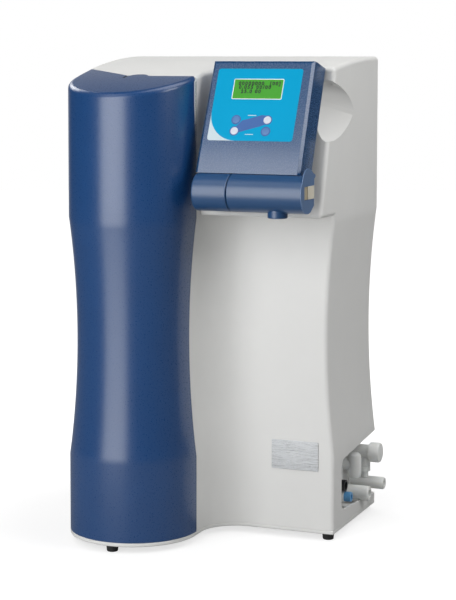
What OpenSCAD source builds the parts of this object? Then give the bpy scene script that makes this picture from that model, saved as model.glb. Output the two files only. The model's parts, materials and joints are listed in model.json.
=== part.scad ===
// Bench-top laboratory water purification unit.
// A waisted housing carries a pull-off cover over the cartridge bay, a tilted display console
// with a dispensing barrel and knob below it, and a hose bay at the rear of its right side.
// The origin is on the bench, at the middle of the whole unit; the front faces -Y.

/* [Housing] */
// Width from the rear left corner to the right side
body_w = 350; // [340:1:370]
// Depth from the front of the cover to the back
body_d = 338; // [330:1:350]
// Height from the bench to the rear edge of the top
body_h = 615; // [605:1:640]
// Thickness of the moulded walls
wall = 3; // [2.4:0.1:4]
// Radius of the crowned top, seen from the side
top_r = 1263; // [1150:1:1600]
// How far the waist draws the sides in
waist_depth = 10; // [6:0.5:12]
// Height at which the waist begins
waist_low = 110; // [108:1:130]
// Distance from the front of the cover back to the lower front panel
panel_set = 153; // [148:1:156]
// Radius of the cove between the column and the lower front panel
cove_r = 47; // [35:1:52]
// Height of the underside of the overhanging head
head_z = 415.5; // [410:0.5:418]
// How far the head overhangs the lower front panel
head_reach = 54; // [50:1:56]
// Backward lean of the head's front face
head_tilt = 16; // [15.5:0.1:18]
// Corner radius at the rear left
rear_left_r = 20; // [12:1:28]
// Corner radius at the rear right
rear_right_r = 8; // [5:0.5:12]
// Radius of the finger scoop in the head's right side
scoop_r = 40; // [34:1:42]
// Height of the scoop's axis
scoop_z = 549; // [545:1:552]
// How far the scoop runs back from the head's front edge
scoop_run = 114; // [100:1:125]

/* [Base] */
// Height of the rubber feet
foot_h = 8; // [6:0.5:9]
// Radius of a foot
foot_r = 12; // [10:0.5:13]
// Radius of the peg that holds a foot in the base plate
foot_peg_r = 4; // [3:0.1:5]
// Thickness of the base plate
base_t = 5; // [4:0.1:6]

/* [Front cover] */
// Radius of the half-round cover
cover_r = 83; // [81:0.5:85]
// Distance from the housing's rear left corner across to the cover's axis
cover_inset = 105.5; // [103:0.5:108]
// Wall of the cover
cover_wall = 3; // [2.4:0.1:4]
// Gap at the seams between cover, housing and base plate
seam = 0.6; // [0.4:0.1:1]
// Distance from the cover's axis back to its seam
seam_back = 5; // [3:0.5:7]
// Distance from the cover's axis left to the bend in the seam
bend_inset = 10; // [8:1:14]
// How far the seam runs back from the bend to the left side
seam_run = 43; // [38:1:48]
// Radius of the finger tab on the cover's rear edge
tab_r = 14; // [11:0.5:16]
// Length of the finger slot beside the tab
slot_l = 11; // [8:0.5:13]
// Width of the finger slot
slot_w = 3; // [2.4:0.1:4]
// Radius of the ball studs that hold the cover
stud_r = 3; // [2.5:0.1:3.5]

/* [Console] */
// Width of the display console
console_w = 134; // [130:1:138]
// Height of its face, measured along the slope
console_h = 148.5; // [147:0.5:151]
// Thickness of the console
console_t = 42; // [40:0.5:43]
// Backward lean of its face
console_tilt = 21.4; // [21:0.1:22]
// Chamfer round the face
console_chamfer = 7; // [5:0.5:8]
// Rise of the console's top from front to back
console_rise = 6; // [4:0.5:7]
// Distance from the cover's column to the console
console_inset = 15.5; // [13:0.5:18]
// Distance from the front of the cover back to the lower edge of the face
console_set = 53; // [51:0.5:54]
// Height of the lower edge of the face
console_z = 470; // [468:0.5:471]
// Wall of the console shells
console_wall = 3; // [2.4:0.1:3.4]
// Depth of the front shell
console_split = 22; // [19:0.5:25]

/* [Display and keys] */
// Width of the key film
film_w = 111; // [108:0.5:113]
// Height of the key film
film_h = 95; // [92:0.5:97]
// Thickness of the key film
film_t = 0.8; // [0.5:0.1:1]
// Distance from the top of the face down to the film
film_drop = 9.4; // [9:0.1:12]
// Distance from the left of the face to the film
film_inset = 8; // [7.5:0.1:10]
// Width of the display frame
lcd_w = 66; // [64:0.5:67]
// Height of the display frame
lcd_h = 26; // [25:0.5:27]
// Width of the display frame's border
lcd_rim = 2.2; // [1.6:0.1:3]
// Height of the display's middle above the lower edge of the face
lcd_z = 111.5; // [110:0.5:113]
// How far the display's middle lies left of the console's middle
lcd_shift = 3; // [2:0.5:4]
// Radius of a key
key_r = 4.9; // [4.4:0.1:5.2]
// Distance between the two columns of keys
key_pitch_x = 41; // [38:0.5:43]
// Distance between the two rows of keys
key_pitch_z = 14.6; // [13.8:0.1:15.2]
// Height of the lower keys above the lower edge of the face
key_z = 57.2; // [55.5:0.1:58.5]
// Travel of a key
key_travel = 0.5; // [0.3:0.1:0.6]
// Clearance round a key
key_gap = 0.3; // [0.2:0.05:0.4]

/* [Dispensing barrel] */
// Radius of the barrel and its knob
barrel_r = 22.5; // [21.5:0.1:22.8]
// Height of the barrel's axis
barrel_z = 448.5; // [447.5:0.1:449.5]
// Distance from the front of the cover back to the barrel's axis
barrel_set = 58; // [57:0.5:59]
// Length of the knob
knob_l = 48.5; // [45:0.5:52]
// Gap at the knob's seam
knob_gap = 0.8; // [0.5:0.1:1.2]
// Thickness of the end plate
end_t = 5; // [4:0.5:6]
// Radius of the knob's spindle
spindle_r = 5; // [4:0.1:6]
// Radial clearance of the spindle in the valve
spindle_fit = 0.05; // [0.02:0.01:0.1]
// Radius of the dispensing valve
valve_r = 13.5; // [12:0.1:14.5]
// Radius of the outlet nozzle
nozzle_r = 12.25; // [11:0.25:12.5]
// Bore radius of the outlet nozzle
nozzle_bore_r = 6.6; // [5:0.1:7]
// How far the nozzle stands below the barrel
nozzle_drop = 7; // [5:0.5:9]
// Distance from the barrel's right end to the nozzle's axis
nozzle_inset = 31; // [29:0.5:34]

/* [Front plate] */
// Width of the plain metal plate
plate_w = 63; // [58:0.5:66]
// Height of the plain metal plate
plate_h = 37.5; // [34:0.5:40]
// Thickness of the plain metal plate
plate_t = 1; // [0.6:0.1:1.5]
// Distance from the right side to the plate's middle
plate_inset = 52; // [50:0.5:58]
// Height of the plate's middle
plate_z = 107; // [100:0.5:115]

/* [Hose bay] */
// How far the longest port stands out of the right side
port_reach = 22; // [20:0.5:24]
// Depth of the bay behind the right side
bay_depth = 26; // [24:0.5:28]
// Distance from the lower panel back to the hose bay
bay_run = 33; // [30:1:37]
// Height of the bay's floor
bay_low = 21; // [19:0.5:23]
// Height of the bay's roof
bay_high = 103; // [100:0.5:105]
// Corner radius of the cut-out's front edge
bay_corner_r = 12; // [8:0.5:14]
// Distance from the back to the pair of stacked ports
stack_inset = 34; // [30:0.5:38]
// Height of the lower stacked port
lower_port_z = 39.5; // [37:0.5:42]
// Height of the upper stacked port
upper_port_z = 78; // [76:0.5:82]
// Radius of the upper port's cap
upper_cap_r = 13; // [11.5:0.25:14]
// Radius of the lower port
lower_port_r = 8.7; // [8:0.1:9.5]
// Bore radius of the lower port, for an 8 mm hose
lower_bore_r = 4.05; // [3:0.05:5]
// Radius of the drain port
drain_r = 10; // [9:0.25:11]
// Bore radius of the drain port, for a 10 mm hose
drain_bore_r = 5.05; // [4:0.05:6]
// Radius of the feed port
feed_r = 8; // [7:0.25:9]
// Bore radius of the feed port, for a 6 mm hose
feed_bore_r = 3.05; // [2.5:0.05:4]

/* [Inside] */
// Thickness of the equipment plate
sheet_t = 2; // [1.5:0.1:3]
// Distance from the lower front panel back to the equipment plate
sheet_set = 26; // [24:0.5:28]
// Radius of the polishing cartridge
cartridge_r = 58; // [50:0.5:60]
// Height of the polishing cartridge
cartridge_h = 450; // [420:1:455]
// Radius of the ultraviolet chamber
uv_r = 25; // [22:0.5:26]
// Length of the ultraviolet chamber
uv_l = 300; // [270:1:305]
// Radius of the ultrafilter
filter_r = 22; // [18:0.5:23]
// Length of the ultrafilter
filter_l = 260; // [230:1:265]
// Radius of the pump motor
motor_r = 30; // [26:0.5:31]
// Length of the pump motor
motor_l = 85; // [75:1:90]
// Radius of the water tubes
tube_r = 3; // [2.5:0.1:3.2]
// Clearance between pieces that nest without moving
nest = 0.1; // [0.05:0.01:0.2]

/* [Hidden] */
$fn = 96;
big_fn = 720;
far = 60;

blue = "#3a5688";
white = "#e6e5e2";
natural = "#d9dad6";
steel = "#b9bcc0";
black = "#1d1e20";

// Places worked out from the housing
left_x = -(body_w + port_reach) / 2;
right_x = left_x + body_w;
front_y = -body_d / 2;
back_y = body_d / 2;
deck_z = foot_h + base_t;
cover_x = left_x + cover_inset;
cover_y = front_y + cover_r;
column_x = cover_x + cover_r;
panel_y = front_y + panel_set;
head_y = panel_y - head_reach;
waist_high = head_z - 2;
waist_z = (waist_low + waist_high) / 2;
waist_half = (waist_high - waist_low) / 2;
waist_r = waist_half * waist_half / (2 * waist_depth) + waist_depth / 2;
waist_angle = asin(waist_half / waist_r) + 0.4;

// The left side runs straight from the cover's circle to the rear left corner
corner_off = [cover_inset - rear_left_r, body_d - cover_r - rear_left_r];
left_lean = acos((cover_r - rear_left_r) / norm(corner_off)) - atan2(corner_off[1], corner_off[0]);
left_out = [-cos(left_lean), -sin(left_lean)];
cover_axis = [cover_x, cover_y];
rear_left_c = [left_x + rear_left_r, back_y - rear_left_r];
rear_right_c = [right_x - rear_right_r, back_y - rear_right_r];
seam_y = cover_y + seam_back;
bend = [cover_x - bend_inset, seam_y];
lap = 0.2;

function arc(c, r, a0, a1, n) = [
  for (i = [0:n]) let(a = a0 + (a1 - a0) * i / n) c + r * [cos(a), sin(a)]
];
function dome_z(y) = body_h - top_r + sqrt(top_r * top_r - (back_y - y) * (back_y - y));
function face_y(z) = head_y + (z - head_z) * tan(head_tilt);
function left_side_x(y, t) = cover_x - (cover_r - t + (y - cover_y) * sin(left_lean)) / cos(left_lean);

// Outline of the block behind the cover's axis, set in by t and carried forward by over
module block_plan(t, over = 0) {
  polygon(concat(
    [cover_axis - [0, over], [right_x - t, cover_y - over]],
    arc(rear_right_c, rear_right_r - t, 0, 90, 6),
    arc(rear_left_c, rear_left_r - t, 90, 180 + left_lean, 8),
    [cover_axis + (cover_r - t) * left_out + over * [sin(left_lean), -cos(left_lean)]]
  ));
}

// A cylinder lying along Y, from y0 to y1
module along_y(x, z, r, y0, y1, fn = 96) {
  translate([x, y0, z]) rotate([-90, 0, 0]) cylinder(r = r, h = y1 - y0, $fn = fn);
}

// A cylinder lying along X, from x0 to x1
module along_x(y, z, r, x0, x1, fn = 96) {
  translate([x0, y, z]) rotate([0, 90, 0]) cylinder(r = r, h = x1 - x0, $fn = fn);
}

// A box between two corners
module box(low, high) {
  translate(low) cube(high - low);
}

// Everything under the crowned top, set in by t
module under_dome(t) {
  along_x(back_y, body_h - top_r, top_r - t, left_x - far, right_x + far, big_fn);
}

// The half-round front of the column, from z0 up, widened at both ends by over degrees
module column_front(t, z0, over = 0) {
  translate([cover_x, cover_y, 0])
    rotate_extrude(angle = 180 - left_lean + 2 * over, start = 180 + left_lean - over)
      difference() {
        translate([0, z0]) square([cover_r - t, body_h - z0 + far]);
        translate([cover_r - waist_depth + waist_r, waist_z]) circle(r = waist_r + t, $fn = big_fn);
      }
}

// The block behind the cover's axis, waisted on its left side
module flank(t, z0, over = 0) {
  difference() {
    translate([0, 0, z0]) linear_extrude(body_h - z0 + far) block_plan(t, over);
    translate([cover_x, cover_y, waist_z]) rotate([0, 0, left_lean])
      along_y(-(cover_r - waist_depth + waist_r), 0, waist_r + t, -far, body_d, big_fn);
  }
}

// Corner of a recess, filling the square of side r up to p: round outside, cut flat inside the wall
module cove_corner(p, r, flat) {
  k = 2 - sqrt(2);
  if (flat)
    translate(p) polygon([[-r, 0], [-r, -r], [0, -r], [0, -k * r], [-k * r, 0]]);
  else
    translate(p - [r, r]) circle(r = r);
}

// Plan of the open space in front of the lower panel, with the cove in its corner
module recess_plan(t) {
  r = cove_r + t;
  x0 = column_x - t;
  y1 = panel_y + t;
  translate([x0, front_y - far]) square([right_x + far - x0, y1 - r - front_y + far]);
  translate([x0 + r, front_y - far]) square([right_x + far - x0 - r, y1 - front_y + far]);
  mirror([1, 0]) cove_corner([-x0, y1], r, t > 0);
}

// The same cove, carried round the waist of the column
module waisted_cove(t) {
  r = cove_r + t;
  rim = waist_r + t;
  run = panel_y + t - cover_y + far;
  translate([column_x - waist_depth + waist_r, cover_y - far, waist_z]) rotate([-90, 0, 0])
    rotate_extrude(angle = 2 * waist_angle, start = 180 - waist_angle, $fn = big_fn) {
      translate([rim - r, 0]) square([r, run - r]);
      translate([rim - 1.5 * r, 0]) square([0.5 * r, run]);
      cove_corner([rim, run], r, t > 0);
    }
}

// The space in front of the lower panel and below the head
module recess(t, z0) {
  translate([0, 0, z0 - 1]) linear_extrude(head_z + t - z0 + 1) recess_plan(t);
  intersection() {
    waisted_cove(t);
    box([column_x - far, front_y - far, z0], [column_x + far, back_y, head_z + t]);
  }
}

// The space in front of the head's leaning face
module before_head(t) {
  lean = t / cos(head_tilt);
  translate([column_x - t, 0, 0]) rotate([90, 0, 90]) linear_extrude(right_x + far - column_x)
    polygon([
      [front_y - far, head_z - 1], [face_y(head_z - 1) + lean, head_z - 1],
      [face_y(body_h + far) + lean, body_h + far], [front_y - far, body_h + far]
    ]);
}

// Everything to the right of the column, in front of the lower panel and of the head
module beside_column(t, z0) {
  recess(t, z0);
  before_head(t);
}

// The finger scoop beside the console
module scoop(t) {
  turn = atan2(scoop_r, scoop_run);
  translate([right_x, face_y(scoop_z) - scoop_r / 4, scoop_z]) rotate([0, 0, -turn])
    along_y(0, 0, scoop_r + t, -2 * far, scoop_run + far);
}

// The whole white form behind the cover's axis, set in by t
module housing_form(t, z0) {
  intersection() {
    under_dome(t);
    difference() {
      flank(t, z0);
      along_y(right_x - waist_depth + waist_r, waist_z, waist_r + t, front_y - far, back_y + far, big_fn);
      beside_column(t, z0);
      scoop(t);
    }
  }
}

// Plan of the cover's zone: everything in front of the bent seam, with the finger tab
module cover_zone(grow) {
  left_end = bend + [-2 * cover_r, seam_run * 2 * cover_r / (cover_r - bend_inset)];
  polygon([
    [column_x + far, front_y - far], [column_x + far, seam_y + grow], bend + [0, grow],
    left_end + [0, grow], [left_end[0], front_y - far]
  ]);
  translate([bend[0] + tab_r, seam_y - 5]) circle(r = tab_r + grow);
}

// Side view of the hose bay's opening, which widens towards the back
module bay_opening() {
  front = panel_y + bay_run;
  r = bay_corner_r;
  translate([right_x - bay_depth, 0, 0]) rotate([90, 0, 90]) linear_extrude(bay_depth + far)
    polygon(concat(
      arc([front + r, bay_low + 10 + r], r, 270, 180, 5),
      arc([front + r, bay_high - 12 - r], r, 180, 90, 5),
      [[back_y + 1, bay_high - 1], [back_y + 1, bay_low + 1]]
    ));
}

// Places of the rear panel's screws
rear_low = [left_x + rear_left_r + 12, bay_low + 12];
rear_high = [right_x - bay_depth - 14, body_h - 32];
rear_lap = 10;
screw_r = 1.6;
screw_head_r = 3;
screw_head_h = 1.4;
screw_places = [
  for (z = [0:3]) for (x = [0, 1])
    [x == 0 ? rear_low[0] - rear_lap / 2 : rear_high[0] + rear_lap / 2,
     rear_low[1] + 12 + z * (rear_high[1] - rear_low[1] - 24) / 3]
];

module housing_shell() color(white) difference() {
  housing_form(0, deck_z);
  housing_form(wall, deck_z - 1);
  translate([0, 0, deck_z - 1]) linear_extrude(body_h) cover_zone(seam / 2);
  bay_opening();
  box([rear_low[0], back_y - wall - 1, rear_low[1]], [rear_high[0], back_y + 1, rear_high[1]]);
  for (p = screw_places) {
    along_y(p[0], p[1], screw_r + nest, back_y - wall - 1, back_y + 1, 32);
    along_y(p[0], p[1], screw_head_r + nest, back_y - screw_head_h - nest, back_y + 1, 32);
  }
  // Seat for the dispensing tube that enters through the head's face
  along_y(arm_x, barrel_z, tube_r + nest, head_y - 5, face_y(barrel_z) + 3 * wall, 48);
}

module rear_panel() color(steel) {
  y1 = back_y - wall;
  vents = 9;
  vent_pitch = 14;
  vent_w = 150;
  difference() {
    box([rear_low[0] - rear_lap, y1 - sheet_t, rear_low[1] - rear_lap],
        [rear_high[0] + rear_lap, y1, rear_high[1] + rear_lap]);
    for (p = screw_places) along_y(p[0], p[1], screw_r + nest, y1 - sheet_t - 1, y1 + 1, 32);
    for (i = [0:vents - 1])
      translate([(rear_low[0] + rear_high[0]) / 2, y1, rear_high[1] - 60 - i * vent_pitch])
        cube([vent_w, 4 * sheet_t, 4], center = true);
  }
}

module rear_screws() color(steel) for (p = screw_places) {
  along_y(p[0], p[1], screw_r, back_y - wall - sheet_t - 3, back_y, 32);
  along_y(p[0], p[1], screw_head_r, back_y - screw_head_h, back_y, 32);
}

// Feet, seen from above: one under the cover and one in each corner of the block
foot_places = [
  [cover_x + foot_r, cover_y - cover_r + 2 * foot_r],
  [right_x - foot_r - 3, panel_y + foot_r + 2],
  [right_x - foot_r - 6, back_y - foot_r - 6],
  [left_side_x(back_y, 0) + rear_left_r + foot_r, back_y - rear_left_r - 4],
  [cover_x - cover_r + 2 * foot_r, cover_y + 20]
];

module base_plate() color(white) difference() {
  union() {
    translate([cover_x, cover_y, foot_h])
      rotate_extrude(angle = 180 - left_lean, start = 180 + left_lean) square([cover_r, base_t]);
    translate([0, 0, foot_h]) linear_extrude(base_t) block_plan(lap, 1);
  }
  translate([0, 0, foot_h - 1]) linear_extrude(base_t + 2) recess_plan(0);
  for (p = foot_places) translate([p[0], p[1], foot_h - 1]) cylinder(r = foot_peg_r + nest, h = base_t + 2);
}

module rubber_feet() color(black) for (p = foot_places) translate([p[0], p[1], 0]) {
  cylinder(r = foot_r, h = foot_h);
  cylinder(r = foot_peg_r, h = deck_z);
}

module front_plate() color(steel)
  box([right_x - plate_inset - plate_w / 2, panel_y - plate_t, plate_z - plate_h / 2],
      [right_x - plate_inset + plate_w / 2, panel_y, plate_z + plate_h / 2]);

// Cover: a shell under the same crown as the housing, open at its back and bottom
module in_cover() intersection() {
  under_dome(0);
  translate([0, 0, deck_z]) linear_extrude(body_h) cover_zone(-seam / 2);
  children();
}

module cover_front_half() difference() {
  in_cover() column_front(0, deck_z + seam / 2);
  intersection() {
    under_dome(cover_wall);
    column_front(cover_wall, deck_z - 1, 2);
  }
}

// The rear half laps into the front half, a hair below its surfaces
module cover_rear_half() difference() {
  in_cover() difference() {
    flank(lap, deck_z + seam / 2, 1);
    beside_column(lap, deck_z);
  }
  intersection() {
    under_dome(cover_wall);
    difference() {
      flank(cover_wall - lap, deck_z - 1, 2);
      beside_column(cover_wall - lap, deck_z - 2);
    }
  }
}

module front_cover() color(blue) difference() {
  union() {
    cover_front_half();
    cover_rear_half();
  }
  translate([bend[0] - slot_w / 2, seam_y - slot_l / 2 + 2, body_h])
    cube([slot_w, slot_l, 2 * far], center = true);
}

// Ball studs stand on ribs inside the cover and enter clips inside the housing
stud_heights = [70, body_h - 95];
stud_l = 14;
stud_off = 7;
rib_l = 16;
right_stud = [column_x - cover_wall - stud_off, seam_y];
left_stud = [left_side_x(seam_y + seam_run - 12, cover_wall) + stud_off + 1, seam_y + seam_run - 12];

module cover_studs() color(blue) for (z = stud_heights) {
  for (p = [right_stud, left_stud]) {
    along_y(p[0], z, 0.7 * stud_r, p[1] - 4, p[1] + stud_l - stud_r, 32);
    translate([p[0], p[1] + stud_l - stud_r, z]) sphere(r = stud_r, $fn = 48);
  }
  intersection() {
    box([right_stud[0] - stud_off, seam_y - rib_l, z - 6], [column_x, seam_y - 2, z + 6]);
    cover_inside();
  }
  intersection() {
    box([left_stud[0] - 2 * stud_off, left_stud[1] - rib_l, z - 6],
        [left_stud[0] + stud_off, left_stud[1] - 2, z + 6]);
    flank(cover_wall + nest, deck_z);
  }
}

// Room inside the cover's round front and the start of its straight side
module cover_inside() {
  column_front(cover_wall + nest, deck_z);
  translate([0, 0, deck_z]) linear_extrude(body_h) square_to_seam();
}

module square_to_seam() translate([cover_x, cover_y - nest])
  square([cover_r - cover_wall - nest, seam_back]);

module cover_clips() color(black) for (z = stud_heights) {
  difference() {
    box([right_stud[0] - stud_off, seam_y + 4, z - 8], [column_x - wall - nest, seam_y + 4 + rib_l, z + 8]);
    along_y(right_stud[0], z, stud_r + 0.3, seam_y, seam_y + rib_l, 48);
  }
  difference() {
    intersection() {
      box([left_stud[0] - 2 * stud_off, left_stud[1] + 4, z - 8],
          [left_stud[0] + stud_off, left_stud[1] + 4 + rib_l, z + 8]);
      flank(wall + nest, deck_z);
    }
    along_y(left_stud[0], z, stud_r + 0.3, left_stud[1], left_stud[1] + rib_l, 48);
  }
}

// Console frame: x across, z up the face, y into the console
console_x = column_x + console_inset + console_w / 2;
console_y = front_y + console_set;
barrel_y = front_y + barrel_set;
barrel_x0 = console_x - console_w / 2 - 2;
barrel_x1 = barrel_x0 + knob_l + knob_gap;
barrel_x2 = console_x + console_w / 2 + 2.3;
barrel_l = barrel_x2 - barrel_x1;
film_c = [-console_w / 2 + film_inset + film_w / 2, console_h - film_drop - film_h / 2];
lcd_c = [-lcd_shift, lcd_z];
key_c = [-lcd_shift - 2, key_z + key_pitch_z / 2];
saddle_gap = 0.6;
stem_l = 5;
board_y = console_wall + key_travel + stem_l + 3.5;

module at_console() translate([console_x, console_y, console_z]) rotate([-console_tilt, 0, 0]) children();

// Rounded plate in the plane of the face, between depths y0 and y1
module face_plate(c, w, h, r, y0, y1) translate([c[0], y1, c[1]]) rotate([90, 0, 0])
  linear_extrude(y1 - y0) {
    square([w - 2 * r, h], center = true);
    square([w, h - 2 * r], center = true);
    for (x = [-1, 1]) for (z = [-1, 1])
      translate([x * (w / 2 - r), z * (h / 2 - r)]) circle(r = r, $fn = 48);
  }

// Console block set in by t, chamfered round its face, between depths y0 and y1
module console_form(t, y0, y1) {
  c = console_chamfer;
  w = console_w / 2 - t;
  side_y = max(c, y0);
  face_w = w - max(c - y0, 0);
  intersection() {
    translate([0, 0, -1]) linear_extrude(console_h + far)
      polygon([[-w, y1], [-w, side_y], [-face_w, y0], [face_w, y0], [w, side_y], [w, y1]]);
    translate([-w - 1, 0, 0]) rotate([90, 0, 90]) linear_extrude(2 * w + 2)
      polygon([
        [0, t == 0 ? 0 : 8.5], [0, console_h - c - t], [c, console_h - t + c * console_rise / console_t],
        [console_t, console_h + console_rise - t], [console_t, t == 0 ? 0 : 8.5]
      ]);
  }
}

module saddle_cut() along_x(barrel_y, barrel_z, barrel_r + saddle_gap, barrel_x0 - far, barrel_x2 + far);

module console_front() color(blue) difference() {
  at_console() difference() {
    console_form(0, 0, console_split);
    console_form(console_wall, console_wall, console_split + 1);
    face_plate(film_c, film_w + 2 * nest, film_h + 2 * nest, 5, -1, film_t);
    face_plate(lcd_c, lcd_w - 2, lcd_h - 2, 1, -1, console_wall + 1);
    for (k = key_places) translate([k[0], -1, k[1]]) rotate([-90, 0, 0])
      cylinder(r = key_r + key_gap, h = console_wall + 2);
  }
  saddle_cut();
}

module console_back() color(blue) difference() {
  at_console() difference() {
    console_form(0, console_split + nest, console_t);
    console_form(console_wall, console_split - 1, console_t - console_wall);
  }
  saddle_cut();
}

// Wedge between the console's sloped back and the head's face
module console_bracket() color(white) {
  depth = console_t + nest;
  low = 20;
  high = 105;
  back = [for (v = [low, high]) [
    console_y + depth * cos(console_tilt) + v * sin(console_tilt),
    console_z - depth * sin(console_tilt) + v * cos(console_tilt)
  ]];
  translate([console_x - 26, 0, 0]) rotate([90, 0, 90]) linear_extrude(52)
    polygon([
      back[0], [face_y(back[0][1]) - nest, back[0][1]],
      [face_y(back[1][1]) - nest, back[1][1]], back[1]
    ]);
}

key_places = [for (z = [1, 0]) for (x = [-1, 1]) key_c + [x * key_pitch_x / 2, (z - 0.5) * key_pitch_z]];

module key_film() color("#00a5d8") at_console() difference() {
  face_plate(film_c, film_w, film_h, 5, 0, film_t - nest);
  face_plate(lcd_c, lcd_w + 2 * nest, lcd_h + 2 * nest, 1.5, -1, 2);
  for (k = key_places) translate([k[0], -1, k[1]]) rotate([-90, 0, 0]) cylinder(r = key_r + key_gap, h = 3);
}

module lcd_frame() color(white) at_console() difference() {
  face_plate(lcd_c, lcd_w, lcd_h, 1.5, -0.4, film_t - nest);
  face_plate(lcd_c, lcd_w - 2 * lcd_rim, lcd_h - 2 * lcd_rim, 0.5, -1, 2);
}

module lcd_glass() color("#8fc23c") at_console()
  face_plate(lcd_c, lcd_w - 2 * (lcd_rim + nest), lcd_h - 2 * (lcd_rim + nest), 0.4, 0.4, board_y - nest);

module display_board() color("darkgreen") at_console() {
  difference() {
    face_plate([0, console_h / 2], console_w - 26, console_h - 34, 2, board_y, board_y + 1.6);
    for (x = [-1, 1]) for (z = [-1, 1])
      translate([x * (console_w / 2 - 18), board_y - 1, console_h / 2 + z * (console_h / 2 - 22)])
        rotate([-90, 0, 0]) cylinder(r = 1.6, h = 4, $fn = 32);
  }
  for (x = [-1, 1]) for (z = [-1, 1])
    translate([x * (console_w / 2 - 18), console_wall + nest, console_h / 2 + z * (console_h / 2 - 22)])
      rotate([-90, 0, 0]) cylinder(r = 3.5, h = board_y - console_wall - nest, $fn = 32);
  for (k = key_places) translate([k[0] - 3, board_y - 2.2, k[1] - 3]) cube([6, 2.2, 6]);
}

// A key: a proud cap, a retaining flange behind the wall, and a stem to its switch
module membrane_key(k) at_console() translate([k[0], 0, k[1]]) rotate([-90, 0, 0]) {
  translate([0, 0, -0.6]) cylinder(r = key_r, h = console_wall + 1);
  translate([0, 0, console_wall + key_gap]) cylinder(r = key_r + 1.6, h = 1);
  translate([0, 0, console_wall + key_gap])
    cylinder(r = 2.4, h = board_y - 2.2 - console_wall - 2 * key_gap - key_travel);
}

module upper_left_key() color("#8a86c8") membrane_key(key_places[0]);
module upper_right_key() color(white) membrane_key(key_places[1]);
module lower_left_key() color(white) membrane_key(key_places[2]);
module lower_right_key() color("#8a86c8") membrane_key(key_places[3]);

// Fixed section of the barrel with the arm that joins it to the head
arm_low = barrel_z - 13;
arm_high = barrel_z + 5.5;
valve_x0 = barrel_x1 + 8;
valve_x1 = barrel_x2 - 8;
nozzle_x = barrel_x2 - nozzle_inset;
arm_x = valve_x0 + 8;

module outlet_barrel() color(blue) difference() {
  union() {
    along_x(barrel_y, barrel_z, barrel_r, barrel_x1, barrel_x2);
    translate([barrel_x1 + 4, 0, 0]) rotate([90, 0, 90]) linear_extrude(barrel_l - 14)
      polygon([
        [barrel_y, arm_low], [face_y(arm_low) - nest, arm_low],
        [face_y(arm_high) - nest, arm_high], [barrel_y, arm_high]
      ]);
  }
  along_x(barrel_y, barrel_z, spindle_r + 2, barrel_x1 - 1, valve_x0 + 1);
  along_x(barrel_y, barrel_z, valve_r + nest, valve_x0, barrel_x2 + 1);
  translate([nozzle_x, barrel_y, barrel_z - barrel_r - 1]) cylinder(r = nozzle_r + nest, h = barrel_r);
  along_y(arm_x, barrel_z, tube_r + nest, barrel_y, head_y + 2 * far, 48);
  tab_pocket(nest);
}

// Profile of the end plate: round at the front, straight at the back, with a lug at the top
module end_profile() translate([barrel_y, barrel_z]) {
  circle(r = barrel_r);
  translate([10, 19.5]) circle(r = 12);
  polygon([[0, -barrel_r], [16, -barrel_r], [29, -12.5], [31, -8], [32, 0],
           [32, 22], [29, 25], [18, 27], [0, barrel_r]]);
}

tab_h = 16;
tab_in = 1.8;
tab_y0 = barrel_y - 3;

module tab_pocket(grow) box(
  [barrel_x2 - tab_in - grow, tab_y0 - grow, barrel_z + 2 - tab_h / 2 - grow],
  [barrel_x2 + end_t + 1, barrel_y + 60, barrel_z + 2 + tab_h / 2 + grow]);

module barrel_end_plate() color(blue) difference() {
  translate([barrel_x2 + nest, 0, 0]) rotate([90, 0, 90]) linear_extrude(end_t) end_profile();
  tab_pocket(nest);
}

module locking_tab() color("#d8d0bd") box(
  [barrel_x2 - tab_in, tab_y0, barrel_z + 2 - tab_h / 2],
  [barrel_x2 + end_t - 1.2, barrel_y + 31, barrel_z + 2 + tab_h / 2]);

module dispense_knob() color(blue) difference() {
  translate([barrel_x0, barrel_y, barrel_z]) rotate([0, 90, 0]) rotate_extrude()
    polygon([[0, 0], [barrel_r - 3, 0], [barrel_r - 1.2, 0.8], [barrel_r, 2.6], [barrel_r, knob_l],
             [barrel_r - 3, knob_l], [barrel_r - 3, 14], [0, 14]]);
  along_x(barrel_y, barrel_z, spindle_r + nest, barrel_x0 + 4, barrel_x0 + 20);
}

module knob_spindle() color(steel)
  along_x(barrel_y, barrel_z, spindle_r, barrel_x0 + 4 + nest, valve_x0 + 40);

module dispense_valve() color(natural) difference() {
  along_x(barrel_y, barrel_z, valve_r, valve_x0 + nest, valve_x1);
  along_x(barrel_y, barrel_z, spindle_r + spindle_fit, valve_x0, valve_x0 + 40 + 0.5);
  translate([nozzle_x, barrel_y, barrel_z - barrel_r]) cylinder(r = 3, h = barrel_r);
  along_y(arm_x, barrel_z, tube_r + nest, barrel_y + spindle_r + 3, barrel_y + far, 48);
}

nozzle_l = barrel_r + nozzle_drop - valve_r - 0.4;

module outlet_nozzle() color(blue) translate([nozzle_x, barrel_y, barrel_z - barrel_r - nozzle_drop])
  rotate_extrude() polygon([
    [nozzle_bore_r, 0], [nozzle_r - 1, 0], [nozzle_r, 1], [nozzle_r, nozzle_l], [nozzle_bore_r, nozzle_l]
  ]);

// Hose bay: a tray behind the cut-out, with the ports on its inner wall
bay_wall_x = right_x - bay_depth;
bay_front_y = panel_y + bay_run;
stack_y = back_y - stack_inset;
stack_x = right_x - 6;
drain_y = stack_y - 31;
drain_z = bay_low + 16.5;
check_y = stack_y - 27;
check_z = bay_high - 33;
feed_y = stack_y - 63;
feed_z = bay_low + 13;
socket_y = stack_y - 67;
socket_z = bay_low + 31;
signal_y = stack_y - 67;
signal_z = bay_high - 27;
port_root_x = bay_wall_x - wall - 8;

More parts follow.
